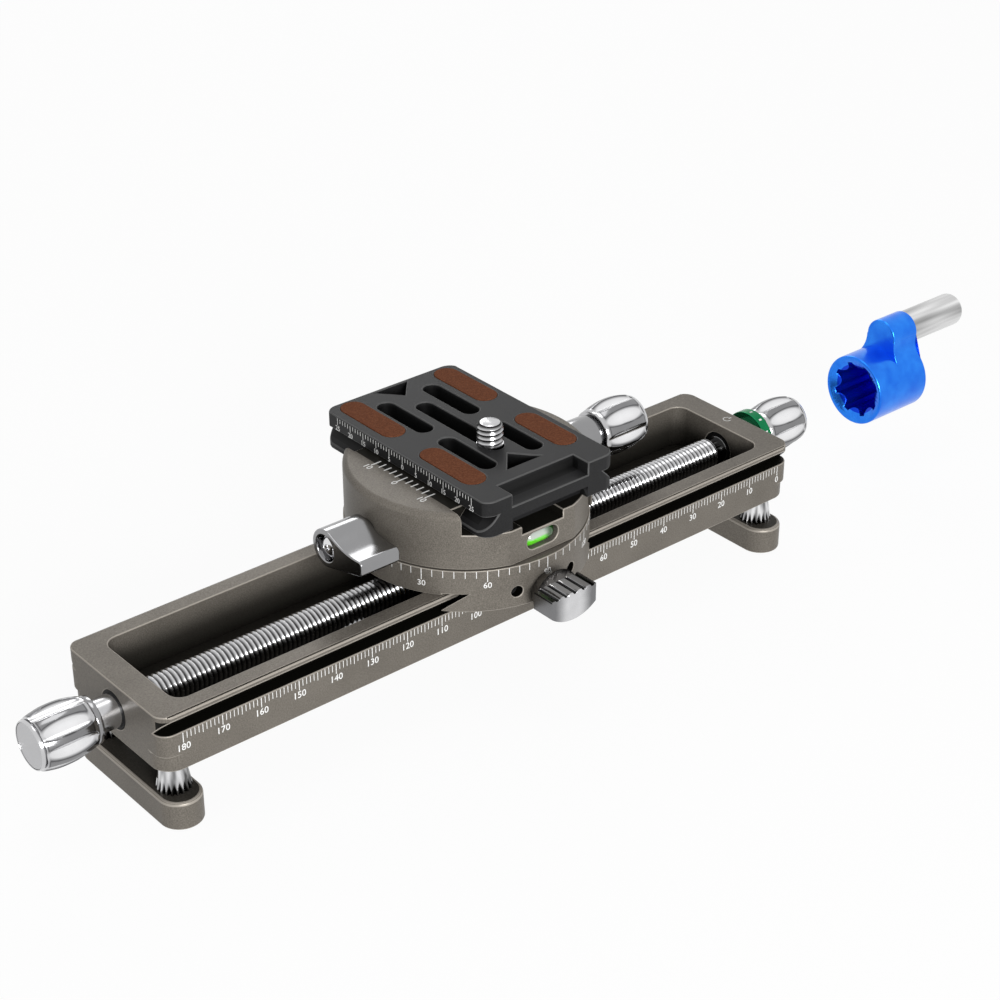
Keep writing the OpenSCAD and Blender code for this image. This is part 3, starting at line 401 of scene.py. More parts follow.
POLISHED, TURNED = (4.0, 0.6, 0.6), (6.0, 0.4, 0.4)
FACED, DRAWN = (0.3, 5.0, 5.0), (0.01, 0.14, 0.14)
chrome = bright_metal("bright_chrome", grey(0.30, 0.005), 0.10, 0.20, POLISHED, 0.004)
turned_steel = bright_metal("turned_steel", grey(0.30, 0.005), 0.14, 0.26, TURNED, 0.006)
satin_disc = bright_metal("satin_end_disc", grey(0.50, 0.01), 0.30, 0.42, FACED, 0.006)
polished_head = bright_metal("polished_head", grey(0.78, 0.01), 0.05, 0.12, POLISHED, 0.002)
handle_steel = bright_metal("streaked_steel", grey(0.85), 0.14, 0.24, DRAWN, 0.004, 1.0)
brass = bright_metal("turned_brass", (0.72, 0.50, 0.20), 0.22, 0.36, POLISHED, 0.006)
print("bright metals", chrome.name, turned_steel.name, satin_disc.name, brass.name)

# %% [markdown]
# ## Chrome that shows its hollows
# The chrome of a knob gets painted shade and painted reflection: the steep walls of its flutes are
# painted dark, the floor of each flute is painted bright, and the ridges lie between. Tones painted
# by hand would never follow the flutes so well, so each point of a knob carries how deep it lies
# under the plain barrel, and a ramp turns that depth into a tone.

# %% Knob chrome
def hollow_chrome(name):
    finish = Finish(name, 0.14, 1.0)
    haze = finish.noise(3.0)
    # Painted shade on the flute walls, and painted reflection on the flute floors and the end
    # bands.
    stops = [(0.0, grey(0.22, 0.005)), (0.03, grey(0.13, 0.005)), (0.10, grey(0.06, 0.005)),
             (0.26, grey(0.32, 0.005)), (0.50, grey(0.78, 0.01)), (1.0, grey(0.90, 0.01))]
    tone = finish.node("ValToRGB", {"stops": stops}, {"Fac": finish.carried("hollow") * 0.8})
    finish.set("Base Color", finish.mix(haze * 0.2, tone, grey(0.40, 0.01)))
    finish.set("Roughness", finish.spread(haze, 0.10, 0.20))
    return finish.material


knob_chrome = hollow_chrome("knob_chrome")
print("finish", knob_chrome.name)


# %% [markdown]
# ## Steel with painted shade in its thread roots
# The roots of a screw are painted near-black as shade, and its crests are a lighter grey. The
# distance from the screw's own axis tells one from the other, so no map has to follow the helix. A
# screw's flat end is as bright as its crests.

# %% Thread steel
def thread_steel(name, axis, centre, root, crest, flat_end=None):
    finish = Finish(name, 0.22, 1.0)
    parts = finish.split()
    off = [part - middle for k, (part, middle) in enumerate(zip(parts, centre)) if k != axis]
    # Painted shade: the roots go near-black, the crests a lighter grey.
    bright = finish.fade(finish.distance(*off), root * MM, crest * MM)
    if flat_end:
        bright = bright + (parts[axis] > (flat_end - 0.03) * MM)
    finish.set("Base Color", finish.mix(bright, grey(0.02), grey(0.55, 0.01)))
    finish.set("Roughness", finish.spread(finish.noise(0.4), 0.14, 0.30))
    return finish.material


# %% [markdown]
# ## Steel with painted shade in its grooves
# The lock knob's grooves are painted near-black as shade. They could be a separate dark piece, but
# their depth under the ridges' flat top finds them on the knob itself, behind its front face. That
# face has a painted highlight in its middle, and the ridges and the back are painted darker as
# shade.

# %% Grooved steel
GROOVE_OPENS, GROOVE_CLOSES, RIDGE_CREST = (0.03, 0.22), (0.62, 0.50), (0.12, 0.04)
FACE_MIDDLE, FACE_RIM = 1.5, 6.2


def grooved_steel(name, top, front, back, middle):
    finish = Finish(name, 0.16, 1.0)
    along, across, up = finish.split()

    def down(depths):
        return finish.fade(up, (top - depths[0]) * MM, (top - depths[1]) * MM)

    # Painted shade in the grooves, on the ridges and on the back; a painted highlight in the middle
    # of the front face.
    groove = down(GROOVE_OPENS) * down(GROOVE_CLOSES) * (across > (front + 0.04) * MM)
    haze = finish.noise(2.5)
    rim = finish.fade(abs(along - middle * MM), FACE_MIDDLE * MM, FACE_RIM * MM)
    bright = finish.mix(rim + haze * 0.3 - 0.1, grey(0.66, 0.01), grey(0.20, 0.005))
    ridge = down(RIDGE_CREST) * (across > (front + 0.3) * MM)
    painted_dark = ridge * 0.85 + (across > (back - 0.1) * MM)
    plain = finish.mix(painted_dark, bright, (0.11, 0.105, 0.10))
    finish.set("Base Color", finish.mix(groove, plain, grey(0.01)))
    finish.set("Roughness", finish.spread(haze, 0.12, 0.24))
    return finish.material


# %% [markdown]
# ## Steel with painted shade in its notches
# A foot nut is gripped by its notches, and its flank keeps upright tool marks. The notches carry
# their depth as the knobs' flutes do, and the deeper part of each notch is painted near-black as
# shade. A noise squeezed along the axis gives the marks.

# %% Notched steel
def notched_steel(name):
    finish = Finish(name, 0.16, 1.0)
    tall = finish.node("Mapping", {}, {"Vector": finish.place, "Scale": (0.5, 0.5, 0.04)})
    lines = finish.noise(0.9, 1.0, tall)
    plain = finish.mix(lines * 4.0 - 1.5, grey(0.10), grey(0.80, 0.01))
    # Painted shade: the deeper part of each notch goes near-black.
    darkened = finish.fade(finish.carried("hollow"), 0.0, 0.4)
    finish.set("Base Color", finish.mix(darkened, plain, grey(0.012)))
    finish.set("Roughness", finish.spread(finish.noise(1.5), 0.12, 0.24))
    return finish.material


nut_steel = notched_steel("nut_steel")
print("finish", nut_steel.name)

# %% [markdown]
# ## Blue and green anodising
# Dyed anodising lets the metal shine through the colour. Paint over metal could be
# two layers, but a metal with a coloured base, a low roughness and a trace of
# cloud looks the same and bakes well. The inside of the crank's socket gets less
# light, so its blue is deeper.

# %% Coloured anodising
def socket_shade(finish):
    along, across, up = finish.split()
    low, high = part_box("crank_socket")
    axis_z = low.z + high.y
    radius = finish.distance(across, up - axis_z)
    inside = finish.fade(radius, 8.4 * MM, 7.6 * MM)
    return inside * finish.within(along, low.x + 1.2 * MM, high.x - 0.8 * MM) * 0.9


def dyed_metal(name, dark, light, rough, shade=None):
    finish = Finish(name, rough, 0.9)
    grains = finish.noise(0.2, 1.0)
    colour = finish.mix(finish.noise(4.0), dark, light)
    if shade:
        colour = finish.mix(shade(finish), colour, (0.0, 0.025, 0.58))
    finish.set("Base Color", colour)
    finish.set("Roughness", finish.spread(grains, rough - 0.04, rough + 0.05))
    finish.bump(grains, 0.08, 0.01)
    return finish.material


BLUE_DARK, BLUE_LIGHT = (0.005, 0.11, 0.72), (0.035, 0.29, 0.97)
GREEN_DARK, GREEN_LIGHT = (0.004, 0.14, 0.05), (0.01, 0.24, 0.09)
crank_blue = dyed_metal("blue_anodised", BLUE_DARK, BLUE_LIGHT, 0.22, socket_shade)
dial_green = dyed_metal("green_anodised", GREEN_DARK, GREEN_LIGHT, 0.26)
print("finishes", crank_blue.name, dial_green.name)

# %% [markdown]
# ## Cork and rubber
# The four pads are a brown mix of cork and rubber that grips the camera. A plain
# noise would look like dust, so a Voronoi texture gives the crumbs and a noise
# breaks them up.

# %% Brown pads
def cork_rubber(name):
    finish = Finish(name, 0.8)
    crumbs = finish.node("TexVoronoi", {}, {"Vector": finish.place, "Scale": 1 / (0.45 * MM)})
    grain = finish.noise(0.25, 3.0)
    tone = crumbs * 0.6 + grain * 1.4 - 0.5
    finish.set("Base Color", finish.mix(tone, (0.075, 0.022, 0.009), (0.200, 0.072, 0.034)))
    finish.set("Specular IOR Level", 0.1)
    finish.set("Roughness", finish.spread(grain, 0.72, 0.92))
    finish.bump(tone, 0.5, 0.05)
    return finish.material


cork = cork_rubber("brown_cork_rubber")
print("finish", cork.name)

# %% [markdown]
# ## Plain dark parts and paint
# Bushes, bearings and foot pads are dark polymer or rubber, small screws are
# blackened steel, and the scales are filled with white paint. All of them are a
# fine grain in colour, gloss and height, so one recipe serves with other numbers.

# %% Dark polymer, black steel, white paint
def moulded(name, dark, light, rough, grain_size, depth, metallic=0.0):
    finish = Finish(name, rough, metallic)
    finish.set("Specular IOR Level", 0.08)
    grain = finish.noise(grain_size)
    finish.set("Base Color", finish.mix(grain, dark, light))
    finish.set("Roughness", finish.spread(grain, rough - 0.08, rough + 0.08))
    finish.bump(grain, 0.2, depth)
    return finish.material


polymer = moulded("black_polymer", grey(0.002), grey(0.007), 0.5, 0.3, 0.02)
rubber = moulded("black_rubber", grey(0.010), grey(0.022), 0.8, 0.3, 0.04)
black_steel = moulded("black_steel", grey(0.008), grey(0.022), 0.35, 0.4, 0.01, 0.2)
paint = moulded("white_scale_paint", grey(0.66, -0.01), grey(0.84, -0.01), 0.6, 0.3, 0.01)
print("finishes", polymer.name, rubber.name, black_steel.name, paint.name)

# %% [markdown]
# ## The level's vial
# The vial is an acrylic tube with green spirit and a long bubble under its top.
# Real glass over liquid would need clear materials that bake poorly, and so small a window shows
# only painted bands: whitish along the top, where the bubble lies, with a painted reflection, green
# where light comes through the spirit, and darker towards the +X end, nearly black there.

# %% Green spirit
def spirit(name, centre, half_length, radius):
    finish = Finish(name, 0.05)
    moved = finish.node("Mapping", {}, {"Vector": finish.place, "Location": -centre})
    along, across, up = finish.split(moved)
    wobble = finish.noise(1.6, 1.0) * 0.3 - 0.15
    # The top band is the bubble with a painted reflection; the spirit darkens towards the +X end.
    bubble_and_reflection = finish.fade(up * (1 / radius) + wobble, -0.05, 0.25)
    darkened = finish.fade(along * (1 / half_length) + wobble, 0.05, 0.6)
    green = finish.mix(darkened, (0.10, 0.60, 0.01), (0.006, 0.045, 0.004))
    pale = finish.mix(darkened, (0.42, 0.47, 0.42), (0.010, 0.06, 0.008))
    finish.set("Base Color", finish.mix(bubble_and_reflection, green, pale))
    finish.set("Coat Weight", 0.8)
    return finish.material


low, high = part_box("level_vial")
green_spirit = spirit("green_spirit", (low + high) / 2, (high.x - low.x) / 2, (high.z - low.z) / 2)
print("vial", round((high.x - low.x) / MM, 1), "mm long")

# %% [markdown]
# ## A finish for every node
# The record names a material slot for each CAD node, and a node keeps its own
# shape wherever that is right already. So the slots are turned into finishes
# first, and the pieces below replace only what needs more form.

# %% Dress the CAD nodes
finish_of_slot = {
    "anodised": warm_grey,
    "chrome": chrome,
    "steel": turned_steel,
    "black_steel": black_steel,
    "black_plastic": polymer,
    "rubber": rubber,
    "brass": brass,
    "dial": dial_green,
    "crank_blue": crank_blue,
    "plate_black": plate_black,
    "cork": cork,
    "level_body": polymer,
    "level_glass": green_spirit,
}
for name, node in frame["nodes"].items():
    node.data.materials.clear()
    node.data.materials.append(finish_of_slot[slot_of_node[name]])
print("finishes", len(bpy.data.materials))

# %% [markdown]
# ## From a bmesh to a piece
# Every new piece goes the same way: its mesh is finished in place, gets its finish, and then rides
# on the CAD body that carries it. A piece that stands for a node takes over the node's body and the
# finish of its slot, unless it is given its own.

# %% Make a piece
def middle_of(node):
    low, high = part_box(node)
    return (low + high) / (2 * MM)


def to_mesh(name, shape):
    mesh = bpy.data.meshes.new(name)
    shape.to_mesh(mesh)
    shape.free()
    return mesh


def piece(name, shape, finish, carrier, replaced=(), smooth=35):
    mesh = to_mesh(name, shape)
    mesh.materials.append(finish)
    mesh.shade_smooth()
    mesh.set_sharp_from_angle(angle=math.radians(smooth))
    made = bpy.data.objects.new(name, mesh)
    bpy.context.scene.collection.objects.link(made)
    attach(made, body_of_node[carrier])
    if replaced:
        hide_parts(*replaced)
    print(name, len(mesh.polygons), "faces")
    return made


def dress_node(name, shape, node, finish=None, smooth=35):
    return piece(name, shape, finish or finish_of_slot[slot_of_node[node]], node, [node], smooth)


def mark_points(made, name, values):
    marks = made.data.attributes.new(name, "FLOAT", "POINT")
    marks.data.foreach_set("value", values)


# %% [markdown]
# ## Broken edges
# Nothing machined has a perfectly sharp edge, and the narrow highlight along an edge is what makes
# metal look real. A Bevel modifier could do it, but the CAD mesh is loose triangles, so a copy of
# the node is welded, its flat triangles are joined into whole faces, and each sharp outer edge gets
# a small bevel, marked for a lighter colour that is partly wear and partly a painted highlight.
# Where many short edges meet, a bevel can shoot past its corner, so every point that left the skin
# by more than half the bevel's width is put back on it.
# The edges under the plate, where the stud's washer slides, are kept sharp so that
# the washer runs free.

# %% Copy a node and break its edges
SHARP_ANGLE, FLAT_ANGLE = 40, 0.4


def copy_of_node(node):
    shape = bmesh.new()
    shape.from_mesh(frame["nodes"][node].data)
    bmesh.ops.remove_doubles(shape, verts=shape.verts, dist=0.0005 * MM)
    return shape


def lies_within(edge, low, high):
    return all(low[k] * MM < vert.co[k] < high[k] * MM for vert in edge.verts for k in range(3))


def broken_edges(node, width, finish=None, kept_sharp=None):
    shape = copy_of_node(node)
    worn = shape.faces.layers.float.new("worn")
    bmesh.ops.dissolve_limit(shape, angle_limit=math.radians(FLAT_ANGLE), verts=shape.verts,
                             edges=shape.edges, use_dissolve_boundaries=False, delimit=set())
    sharp = [edge for edge in shape.edges if edge.is_manifold and edge.is_convex
             and edge.calc_face_angle() > math.radians(SHARP_ANGLE)]
    if kept_sharp:
        sharp = [edge for edge in sharp if not lies_within(edge, *kept_sharp)]
    skin = BVHTree.FromBMesh(shape)
    broken = bmesh.ops.bevel(shape, geom=sharp, offset=width * MM, offset_type="OFFSET",
                             segments=2, profile=0.5, affect="EDGES", clamp_overlap=False,
                             material=-1)
    # The bevel faces are marked for the lighter edge colour: wear and a painted highlight.
    for face in broken["faces"]:
        face[worn] = 1.0
    for vert in shape.verts:
        nearest, normal, face, away = skin.find_nearest(vert.co)
        if away > 0.5 * width * MM:
            vert.co = nearest
    made = dress_node(node + "_dressed", shape, node, finish)
    weighted = made.modifiers.new("even_flats", "WEIGHTED_NORMAL")
    weighted.keep_sharp = True


# %% [markdown]
# ## The machined pieces
# On a real bench the file takes more off a large part than off a small one, so
# the feet and the plate get 0.3 mm and the soft pads 0.12 mm. The parts that have
# a shade of their own are given its finish here.

# %% Dress the machined pieces
UNDER_PLATE = ((-6, -31, 30), (19, 31, 34))
broken_edges("rail_body", 0.25, rail_grey)
broken_edges("carriage_base", 0.2, base_grey)
broken_edges("pan_body", 0.25, turret_grey)
broken_edges("clamp_jaw", 0.25)
broken_edges("left_foot", 0.3, foot_grey)
broken_edges("right_foot", 0.3, foot_grey)
broken_edges("qr_plate", 0.3, None, UNDER_PLATE)
broken_edges("plate_pads", 0.12)
broken_edges("wing_lever", 0.35)
broken_edges("crank_socket", 0.2)
broken_edges("dial_ring", 0.2)

# %% [markdown]
# ## The lock knob and the crank's handle
# These two keep their CAD shape, the knob with its crisp ribs and the handle as a
# plain bar. They are copied all the same, because a copy that is welded can be
# shaded smooth, and the knob's finish needs its measures: the ribbed head reaches
# 6.3 mm back from its front face, and its flat top is read from that face.

# %% Lock knob and handle
LOCK_HEAD = 6.3
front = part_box("lock_knob")[0].y
lock_points = [vert.co for vert in frame["nodes"]["lock_knob"].data.vertices]
flat_top = max(place.z for place in lock_points if place.y < front + 0.1 * MM)
lock_steel = grooved_steel("lock_knob_steel", flat_top / MM, front / MM, front / MM + LOCK_HEAD,
                           middle_of("lock_knob").x)
dress_node("lock_knob_dressed", copy_of_node("lock_knob"), "lock_knob", lock_steel, 20)
dress_node("crank_handle_streaked", copy_of_node("crank_handle"), "crank_handle", handle_steel, 40)

# %% [markdown]
# ## Turned shapes
# A lathe makes a shape by turning a profile round an axis, and bmesh's spin does
# the same. The profile is a row of points, each a place along X and a radius. A
# full spin merges its last step with its first, and a spin that moves along the
# axis makes a thread.

# %% Turn a profile
def turned(profile, steps, turns=1, advance=0.0):
    shape = bmesh.new()
    row = [shape.verts.new((x * MM, 0, radius * MM)) for x, radius in profile]
    lines = [shape.edges.new(pair) for pair in zip(row, row[1:])]
    bmesh.ops.spin(shape, geom=row + lines, cent=(0, 0, 0), axis=(1, 0, 0),
                   dvec=(advance * MM / steps, 0, 0), angle=2 * math.pi * turns, steps=steps,
                   use_merge=advance == 0, use_duplicate=False)
    bmesh.ops.remove_doubles(shape, verts=shape.verts, dist=0.002 * MM)
    bmesh.ops.recalc_face_normals(shape, faces=shape.faces)
    return shape


def stand_at(shape, y, z):
    bmesh.ops.translate(shape, verts=shape.verts, vec=(0, y * MM, z * MM))


def radius_of(vert):
    return math.hypot(vert.co.y, vert.co.z) / MM


def scale_radius(vert, share):
    vert.co.y *= share
    vert.co.z *= share


# %% [markdown]
# ## The fluted knobs
# Each knob is a chrome barrel with eight scooped flutes, a turned groove and a
# bright rim round a plain end disc. Cutting the flutes with a Boolean leaves
# ragged edges, so the barrel is turned, and then its points are drawn in to the
# surface of a round cutter that runs along the axis. The lower of the two radii
# wins, blended over a fraction of a millimetre, so that the ridges between the
# flutes are polished round as on the real knobs.

# %% Scoop the flutes
BARREL_END, BARREL_MIDDLE, KNOB_LENGTH = 5.8, 7.05, 13.9
CUTTER_AT, CUTTER_R, FLUTES, RIDGE_BLEND = 8.35, 2.6, 8, 0.16


def barrel_radius(along):
    rise = BARREL_MIDDLE - BARREL_END
    arc = (KNOB_LENGTH ** 2 / 4 + rise ** 2) / (2 * rise)
    return BARREL_MIDDLE - arc + math.sqrt(arc ** 2 - (along - KNOB_LENGTH / 2) ** 2)


def scooped_radius(radius, turn):
    pitch = 2 * math.pi / FLUTES
    off = turn - pitch * round(turn / pitch)
    side = CUTTER_AT * math.sin(off)
    if abs(side) >= CUTTER_R:
        return radius
    flute = CUTTER_AT * math.cos(off) - math.sqrt(CUTTER_R ** 2 - side ** 2)
    gap = max(RIDGE_BLEND - abs(radius - flute), 0) / RIDGE_BLEND
    return min(radius, flute) - gap ** 2 * RIDGE_BLEND / 4


# %% [markdown]
# ## One knob's barrel
# The bore, the barrel, the groove and the rim are one profile, as they are one job
# on the lathe. Many rows along it let the flutes fade out smoothly at both ends.
# Each point's depth under the plain barrel is kept for the chrome, and the rim and the foot get a
# tone of their own, a painted highlight band at each end.

# %% Turn the barrel
KNOB_BORE, BORE_DEEP, BARREL_ROWS = 2.7, 11, 22
RIM_BAND, FOOT_BAND, RIM_HIGHLIGHT, FOOT_HIGHLIGHT = 1.4, 1.0, 0.5, 0.45


def knob_barrel(start, way):
    inner = [(BORE_DEEP, 0.0), (BORE_DEEP, KNOB_BORE), (0, KNOB_BORE), (0, BARREL_END - 0.3),
             (0.08, BARREL_END - 0.1)]
    rows = [0.3 + i * (KNOB_LENGTH - 1.35) / BARREL_ROWS for i in range(BARREL_ROWS + 1)]
    barrel = [(t, barrel_radius(t)) for t in rows]
    groove = [(KNOB_LENGTH - 0.95, 5.35), (KNOB_LENGTH - 0.68, 5.35), (KNOB_LENGTH - 0.66, 5.74)]
    rim = [(KNOB_LENGTH - 0.14, 5.7), (KNOB_LENGTH, 5.56), (KNOB_LENGTH, 5.4),
           (KNOB_LENGTH - 0.9, 5.37), (KNOB_LENGTH - 0.9, 0.0)]
    shape = turned([(start + way * t, r) for t, r in inner + barrel + groove + rim], 192)
    for vert in shape.verts:
        along = (vert.co.x / MM - start) * way
        radius = radius_of(vert)
        if 0.2 < along < KNOB_LENGTH - 1 and radius > 5.5:
            scale_radius(vert, scooped_radius(radius, math.atan2(vert.co.z, vert.co.y)) / radius)
    return shape


def hollow_of(vert, start, way):
    along = (vert.co.x / MM - start) * way
    # The rim and foot bands get a fixed depth, which the chrome turns into a painted highlight.
    if along > KNOB_LENGTH - RIM_BAND:
        return RIM_HIGHLIGHT
    if along < FOOT_BAND:
        return FOOT_HIGHLIGHT
    return max(barrel_radius(along) - radius_of(vert), 0.0)


# %% [markdown]
# ## Three knobs and their end discs
# The two knobs on the lead screw and the clamp's knob are the same part, so one
# function makes all three, each pointing its own way. A separate disc closes the
# end, with the fine rings of a facing cut instead of polish.

# %% Turn three knobs
def fluted_knob(node, way):
    low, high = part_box(node)
    start = (low.x if way > 0 else high.x) / MM
    axis_z = middle_of(node).z
    barrel = knob_barrel(start, way)
    depths = [hollow_of(vert, start, way) for vert in barrel.verts]
    stand_at(barrel, 0, axis_z)
    mark_points(dress_node(node + "_fluted", barrel, node, knob_chrome, 50), "hollow", depths)
    seat, face = KNOB_LENGTH - 0.88, KNOB_LENGTH - 0.1
    profile = [(seat, 0), (seat, 5.34), (face - 0.06, 5.34), (face, 5.26), (face, 0)]
    disc = turned([(start + way * t, r) for t, r in profile], 96)
    stand_at(disc, 0, axis_z)
    cap = node + "_cap"
    piece(node + "_end_disc", disc, satin_disc, cap, [cap])


for node, way in (("left_knob", -1), ("right_knob", 1), ("clamp_knob", 1)):
    fluted_knob(node, way)

# %% [markdown]
# ## Collars
# A collar is a polished ring with round edges, and the clamp's has a narrower neck
# where it meets the knob. The ring is turned afresh, because a curve drawn in the
# profile is smoother than a bevel on the CAD's facets. The bore and the length
# are read from the node.

# %% Polished rings
NECK_SHARE = 0.79


def polished_ring(node, edge, neck=0.0):
    low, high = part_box(node)
    axis_z = middle_of(node).z
    start, end, rim = low.x / MM, high.x / MM, (high.z - low.z) / 2 / MM
    bore = min(math.hypot(v.co.y, v.co.z - axis_z * MM)
               for v in frame["nodes"][node].data.vertices) / MM
    corner = [(edge * (1 - math.cos(math.radians(a))), rim - edge * (1 - math.sin(math.radians(a))))
              for a in range(0, 91, 30)]
    step = end - neck
    profile = [(start, bore)] + [(start + t, r) for t, r in corner]
    profile += [(step - t, r) for t, r in corner[::-1]]
    if neck:
        profile += [(step, NECK_SHARE * rim), (end, NECK_SHARE * rim)]
    ring = turned(profile + [(end, bore), (start, bore)], 96)
    stand_at(ring, 0, axis_z)
    dress_node(node + "_polished", ring, node)


polished_ring("left_collar", 0.25)
polished_ring("right_collar", 0.15)
polished_ring("clamp_collar", 0.25, 1.05)


# %% [markdown]
# ## The foot nuts
# A foot nut is a smooth cone whose lower part is notched all round, to be gripped
# by the fingertips. As on the knobs, the cone is turned and each point is drawn in,
# here along a zigzag that grows deeper towards the foot.

# %% Serrated nuts
NOTCHES, NOTCH_DEEP, NOTCH_TALL, NUT_BORE, TAPER = 18, 0.85, 3.6, 1.65, 0.17
UPRIGHT = Matrix.Rotation(math.radians(-90), 4, "Y")


def notch_depth(vert, foot):
    share = (math.atan2(vert.co.z, vert.co.y) / (2 * math.pi) * NOTCHES) % 1
    fade = max(1 - (vert.co.x / MM - foot) / NOTCH_TALL, 0)
    return NOTCH_DEEP * fade * (1 - abs(2 * share - 1))


def serrated_nut(node):
    low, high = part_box(node)
    foot, top, wide = low.z / MM, high.z / MM, (high.x - low.x) / 2 / MM
    rows = [0.0, 0.5, 1.0, 1.5, 2.0, 2.5, 3.0, 3.6, 4.6, 5.6, 6.6, 7.2]
    flank = [(foot + t, wide - TAPER * max(t - 0.5, 0)) for t in rows]
    crown = [(top - 0.25, wide - 1.6), (top, wide - 2.0), (top, NUT_BORE), (foot, NUT_BORE)]
    shape = turned([(foot, NUT_BORE)] + flank + crown, NOTCHES * 8)
    depths = []
    for vert in shape.verts:
        radius = radius_of(vert)
        depths.append(notch_depth(vert, foot) if radius > 2.2 else 0.0)
        scale_radius(vert, 1 - depths[-1] / radius)
    place = middle_of(node)
    stand = Matrix.Translation((place.x * MM, place.y * MM, 0)) @ UPRIGHT
    bmesh.ops.transform(shape, matrix=stand, verts=shape.verts)
    mark_points(dress_node(node + "_serrated", shape, node, nut_steel, 30), "hollow", depths)


for corner in ("front_left", "back_left", "front_right", "back_right"):
    serrated_nut(corner + "_foot_nut")

# %% [markdown]
# ## Screw threads
# A thread is a helix: a zigzag section is spun while it moves along the axis by
# one pitch a turn. A few turns are spun and then doubled, which is much quicker
# than spinning them all. The ends are cut flat and closed.

# %% Cut a thread
SPUN_TURNS = 4


def whole(shape):
    return shape.verts[:] + shape.edges[:] + shape.faces[:]


def cut_flat(shape, place, normal):
    cut = bmesh.ops.bisect_plane(shape, geom=whole(shape), dist=1e-7, plane_co=place,
                                 plane_no=normal, clear_outer=True)
    rim = [e for e in cut["geom_cut"] if isinstance(e, bmesh.types.BMEdge)]
    bmesh.ops.holes_fill(shape, edges=rim, sides=0)


def threaded(start, end, crest, root, pitch, steps):
    shares = [(0.0, root), (0.06, root), (0.44, crest), (0.56, crest), (0.94, root), (1.0, root)]
    section = [(start + (share - 2) * pitch, radius) for share, radius in shares]
    shape = turned(section, steps * SPUN_TURNS, SPUN_TURNS, SPUN_TURNS * pitch)
    turns = SPUN_TURNS
    while (turns - SPUN_TURNS) * pitch < end - start:
        twin = bmesh.ops.duplicate(shape, geom=whole(shape))["geom"]
        bmesh.ops.translate(shape, verts=[v for v in twin if isinstance(v, bmesh.types.BMVert)],
                            vec=(turns * pitch * MM, 0, 0))
        turns *= 2
    bmesh.ops.remove_doubles(shape, verts=shape.verts, dist=0.002 * MM)
    cut_flat(shape, (start * MM, 0, 0), (-1, 0, 0))
    cut_flat(shape, (end * MM, 0, 0), (1, 0, 0))
    bmesh.ops.recalc_face_normals(shape, faces=shape.faces)
    return shape


def join_into(shape, other, move=None):
    if move:
        bmesh.ops.transform(other, matrix=move, verts=other.verts)
    mesh = to_mesh("joined", other)
    shape.from_mesh(mesh)
    bpy.data.meshes.remove(mesh)


# %% [markdown]
# ## The lead screw
# An M8 screw with a 1.25 mm pitch runs the length of the pocket. Its journals and
# the spigots in the knobs come from the CAD node, cut off where the thread starts,
# so that they keep their fit in the bushes.

# %% Lead screw
THREAD_START, THREAD_END = -88.0, 84.5
LEAD_CREST, LEAD_ROOT, LEAD_PITCH = 3.95, 3.3, 1.25
screw_z = middle_of("lead_screw").z
screw = threaded(THREAD_START, THREAD_END, LEAD_CREST, LEAD_ROOT, LEAD_PITCH, 32)
stand_at(screw, 0, screw_z)
for edge, way in ((THREAD_START, 1), (THREAD_END, -1)):
    journal = copy_of_node("lead_screw")
    cut_flat(journal, (edge * MM, 0, 0), (way, 0, 0))
    join_into(screw, journal)
screw_steel = thread_steel("lead_screw_steel", 0, (0, 0, screw_z * MM), 3.2, 3.9)
dress_node("lead_screw_threaded", screw, "lead_screw", screw_steel)

# %% [markdown]
# ## The camera stud
# A quarter-inch screw stands in the plate's middle slot. The same thread is made
# along X, turned upright and tapered at its tip, where the last turn is chamfered
# so that it starts easily in a camera.

# %% Camera stud
STUD_CREST, STUD_ROOT, STUD_PITCH = 3.15, 2.62, 1.27
TIP_TALL, TIP_SLOPE, STUD_RISE = 0.75, 1.1, 0.12
stud_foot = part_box("qr_plate")[1].z / MM + STUD_RISE
stud_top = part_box("camera_stud")[1].z / MM
stud_thread = threaded(stud_foot, stud_top, STUD_CREST, STUD_ROOT, STUD_PITCH, 48)
for vert in stud_thread.verts:
    most = STUD_CREST - TIP_SLOPE * max(vert.co.x / MM - stud_top + TIP_TALL, 0)
    if radius_of(vert) > most:
        scale_radius(vert, most / radius_of(vert))
stud_place = middle_of("camera_stud")
stud = copy_of_node("camera_stud")
cut_flat(stud, (0, 0, stud_foot * MM), (0, 0, 1))
stand = Matrix.Translation((stud_place.x * MM, stud_place.y * MM, 0)) @ UPRIGHT
join_into(stud, stud_thread, stand)
stud_steel = thread_steel("stud_steel", 2, tuple(stud_place * MM), 2.5, STUD_CREST, stud_top)
dress_node("camera_stud_threaded", stud, "camera_stud", stud_steel)

# %% [markdown]
# ## The wing lever's screw
# A bright screw with a domed head and a six-sided socket holds the lever. The
# dome is turned, and the points of the socket's wall are then drawn out from a
# circle to a hexagon, which keeps the rim round.

# %% Domed screw
DOME_TALL, MOUTH_R, SOCKET_R, SOCKET_DEEP = 1.95, 1.05, 0.75, 1.1
low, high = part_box("wing_screw")
head_front, head_back, head_r = low.x / MM, high.x / MM, (high.z - low.z) / 2 / MM
arc = [(head_back - 0.2 - DOME_TALL * math.sin(math.radians(a)),
        MOUTH_R + (head_r - MOUTH_R) * math.cos(math.radians(a))) for a in range(0, 91, 10)]
socket = [(head_front + 0.15, SOCKET_R), (head_front + 0.9, SOCKET_R),
          (head_front + SOCKET_DEEP, 0.0)]
head = turned([(head_back, 0.0), (head_back, head_r)] + arc + socket, 48)
for vert in head.verts:
    if abs(radius_of(vert) - SOCKET_R) < 0.05:
        turn = math.degrees(math.atan2(vert.co.z, vert.co.y)) % 60 - 30
        scale_radius(vert, 1 / math.cos(math.radians(turn)))
stand_at(head, 0, middle_of("wing_screw").z)
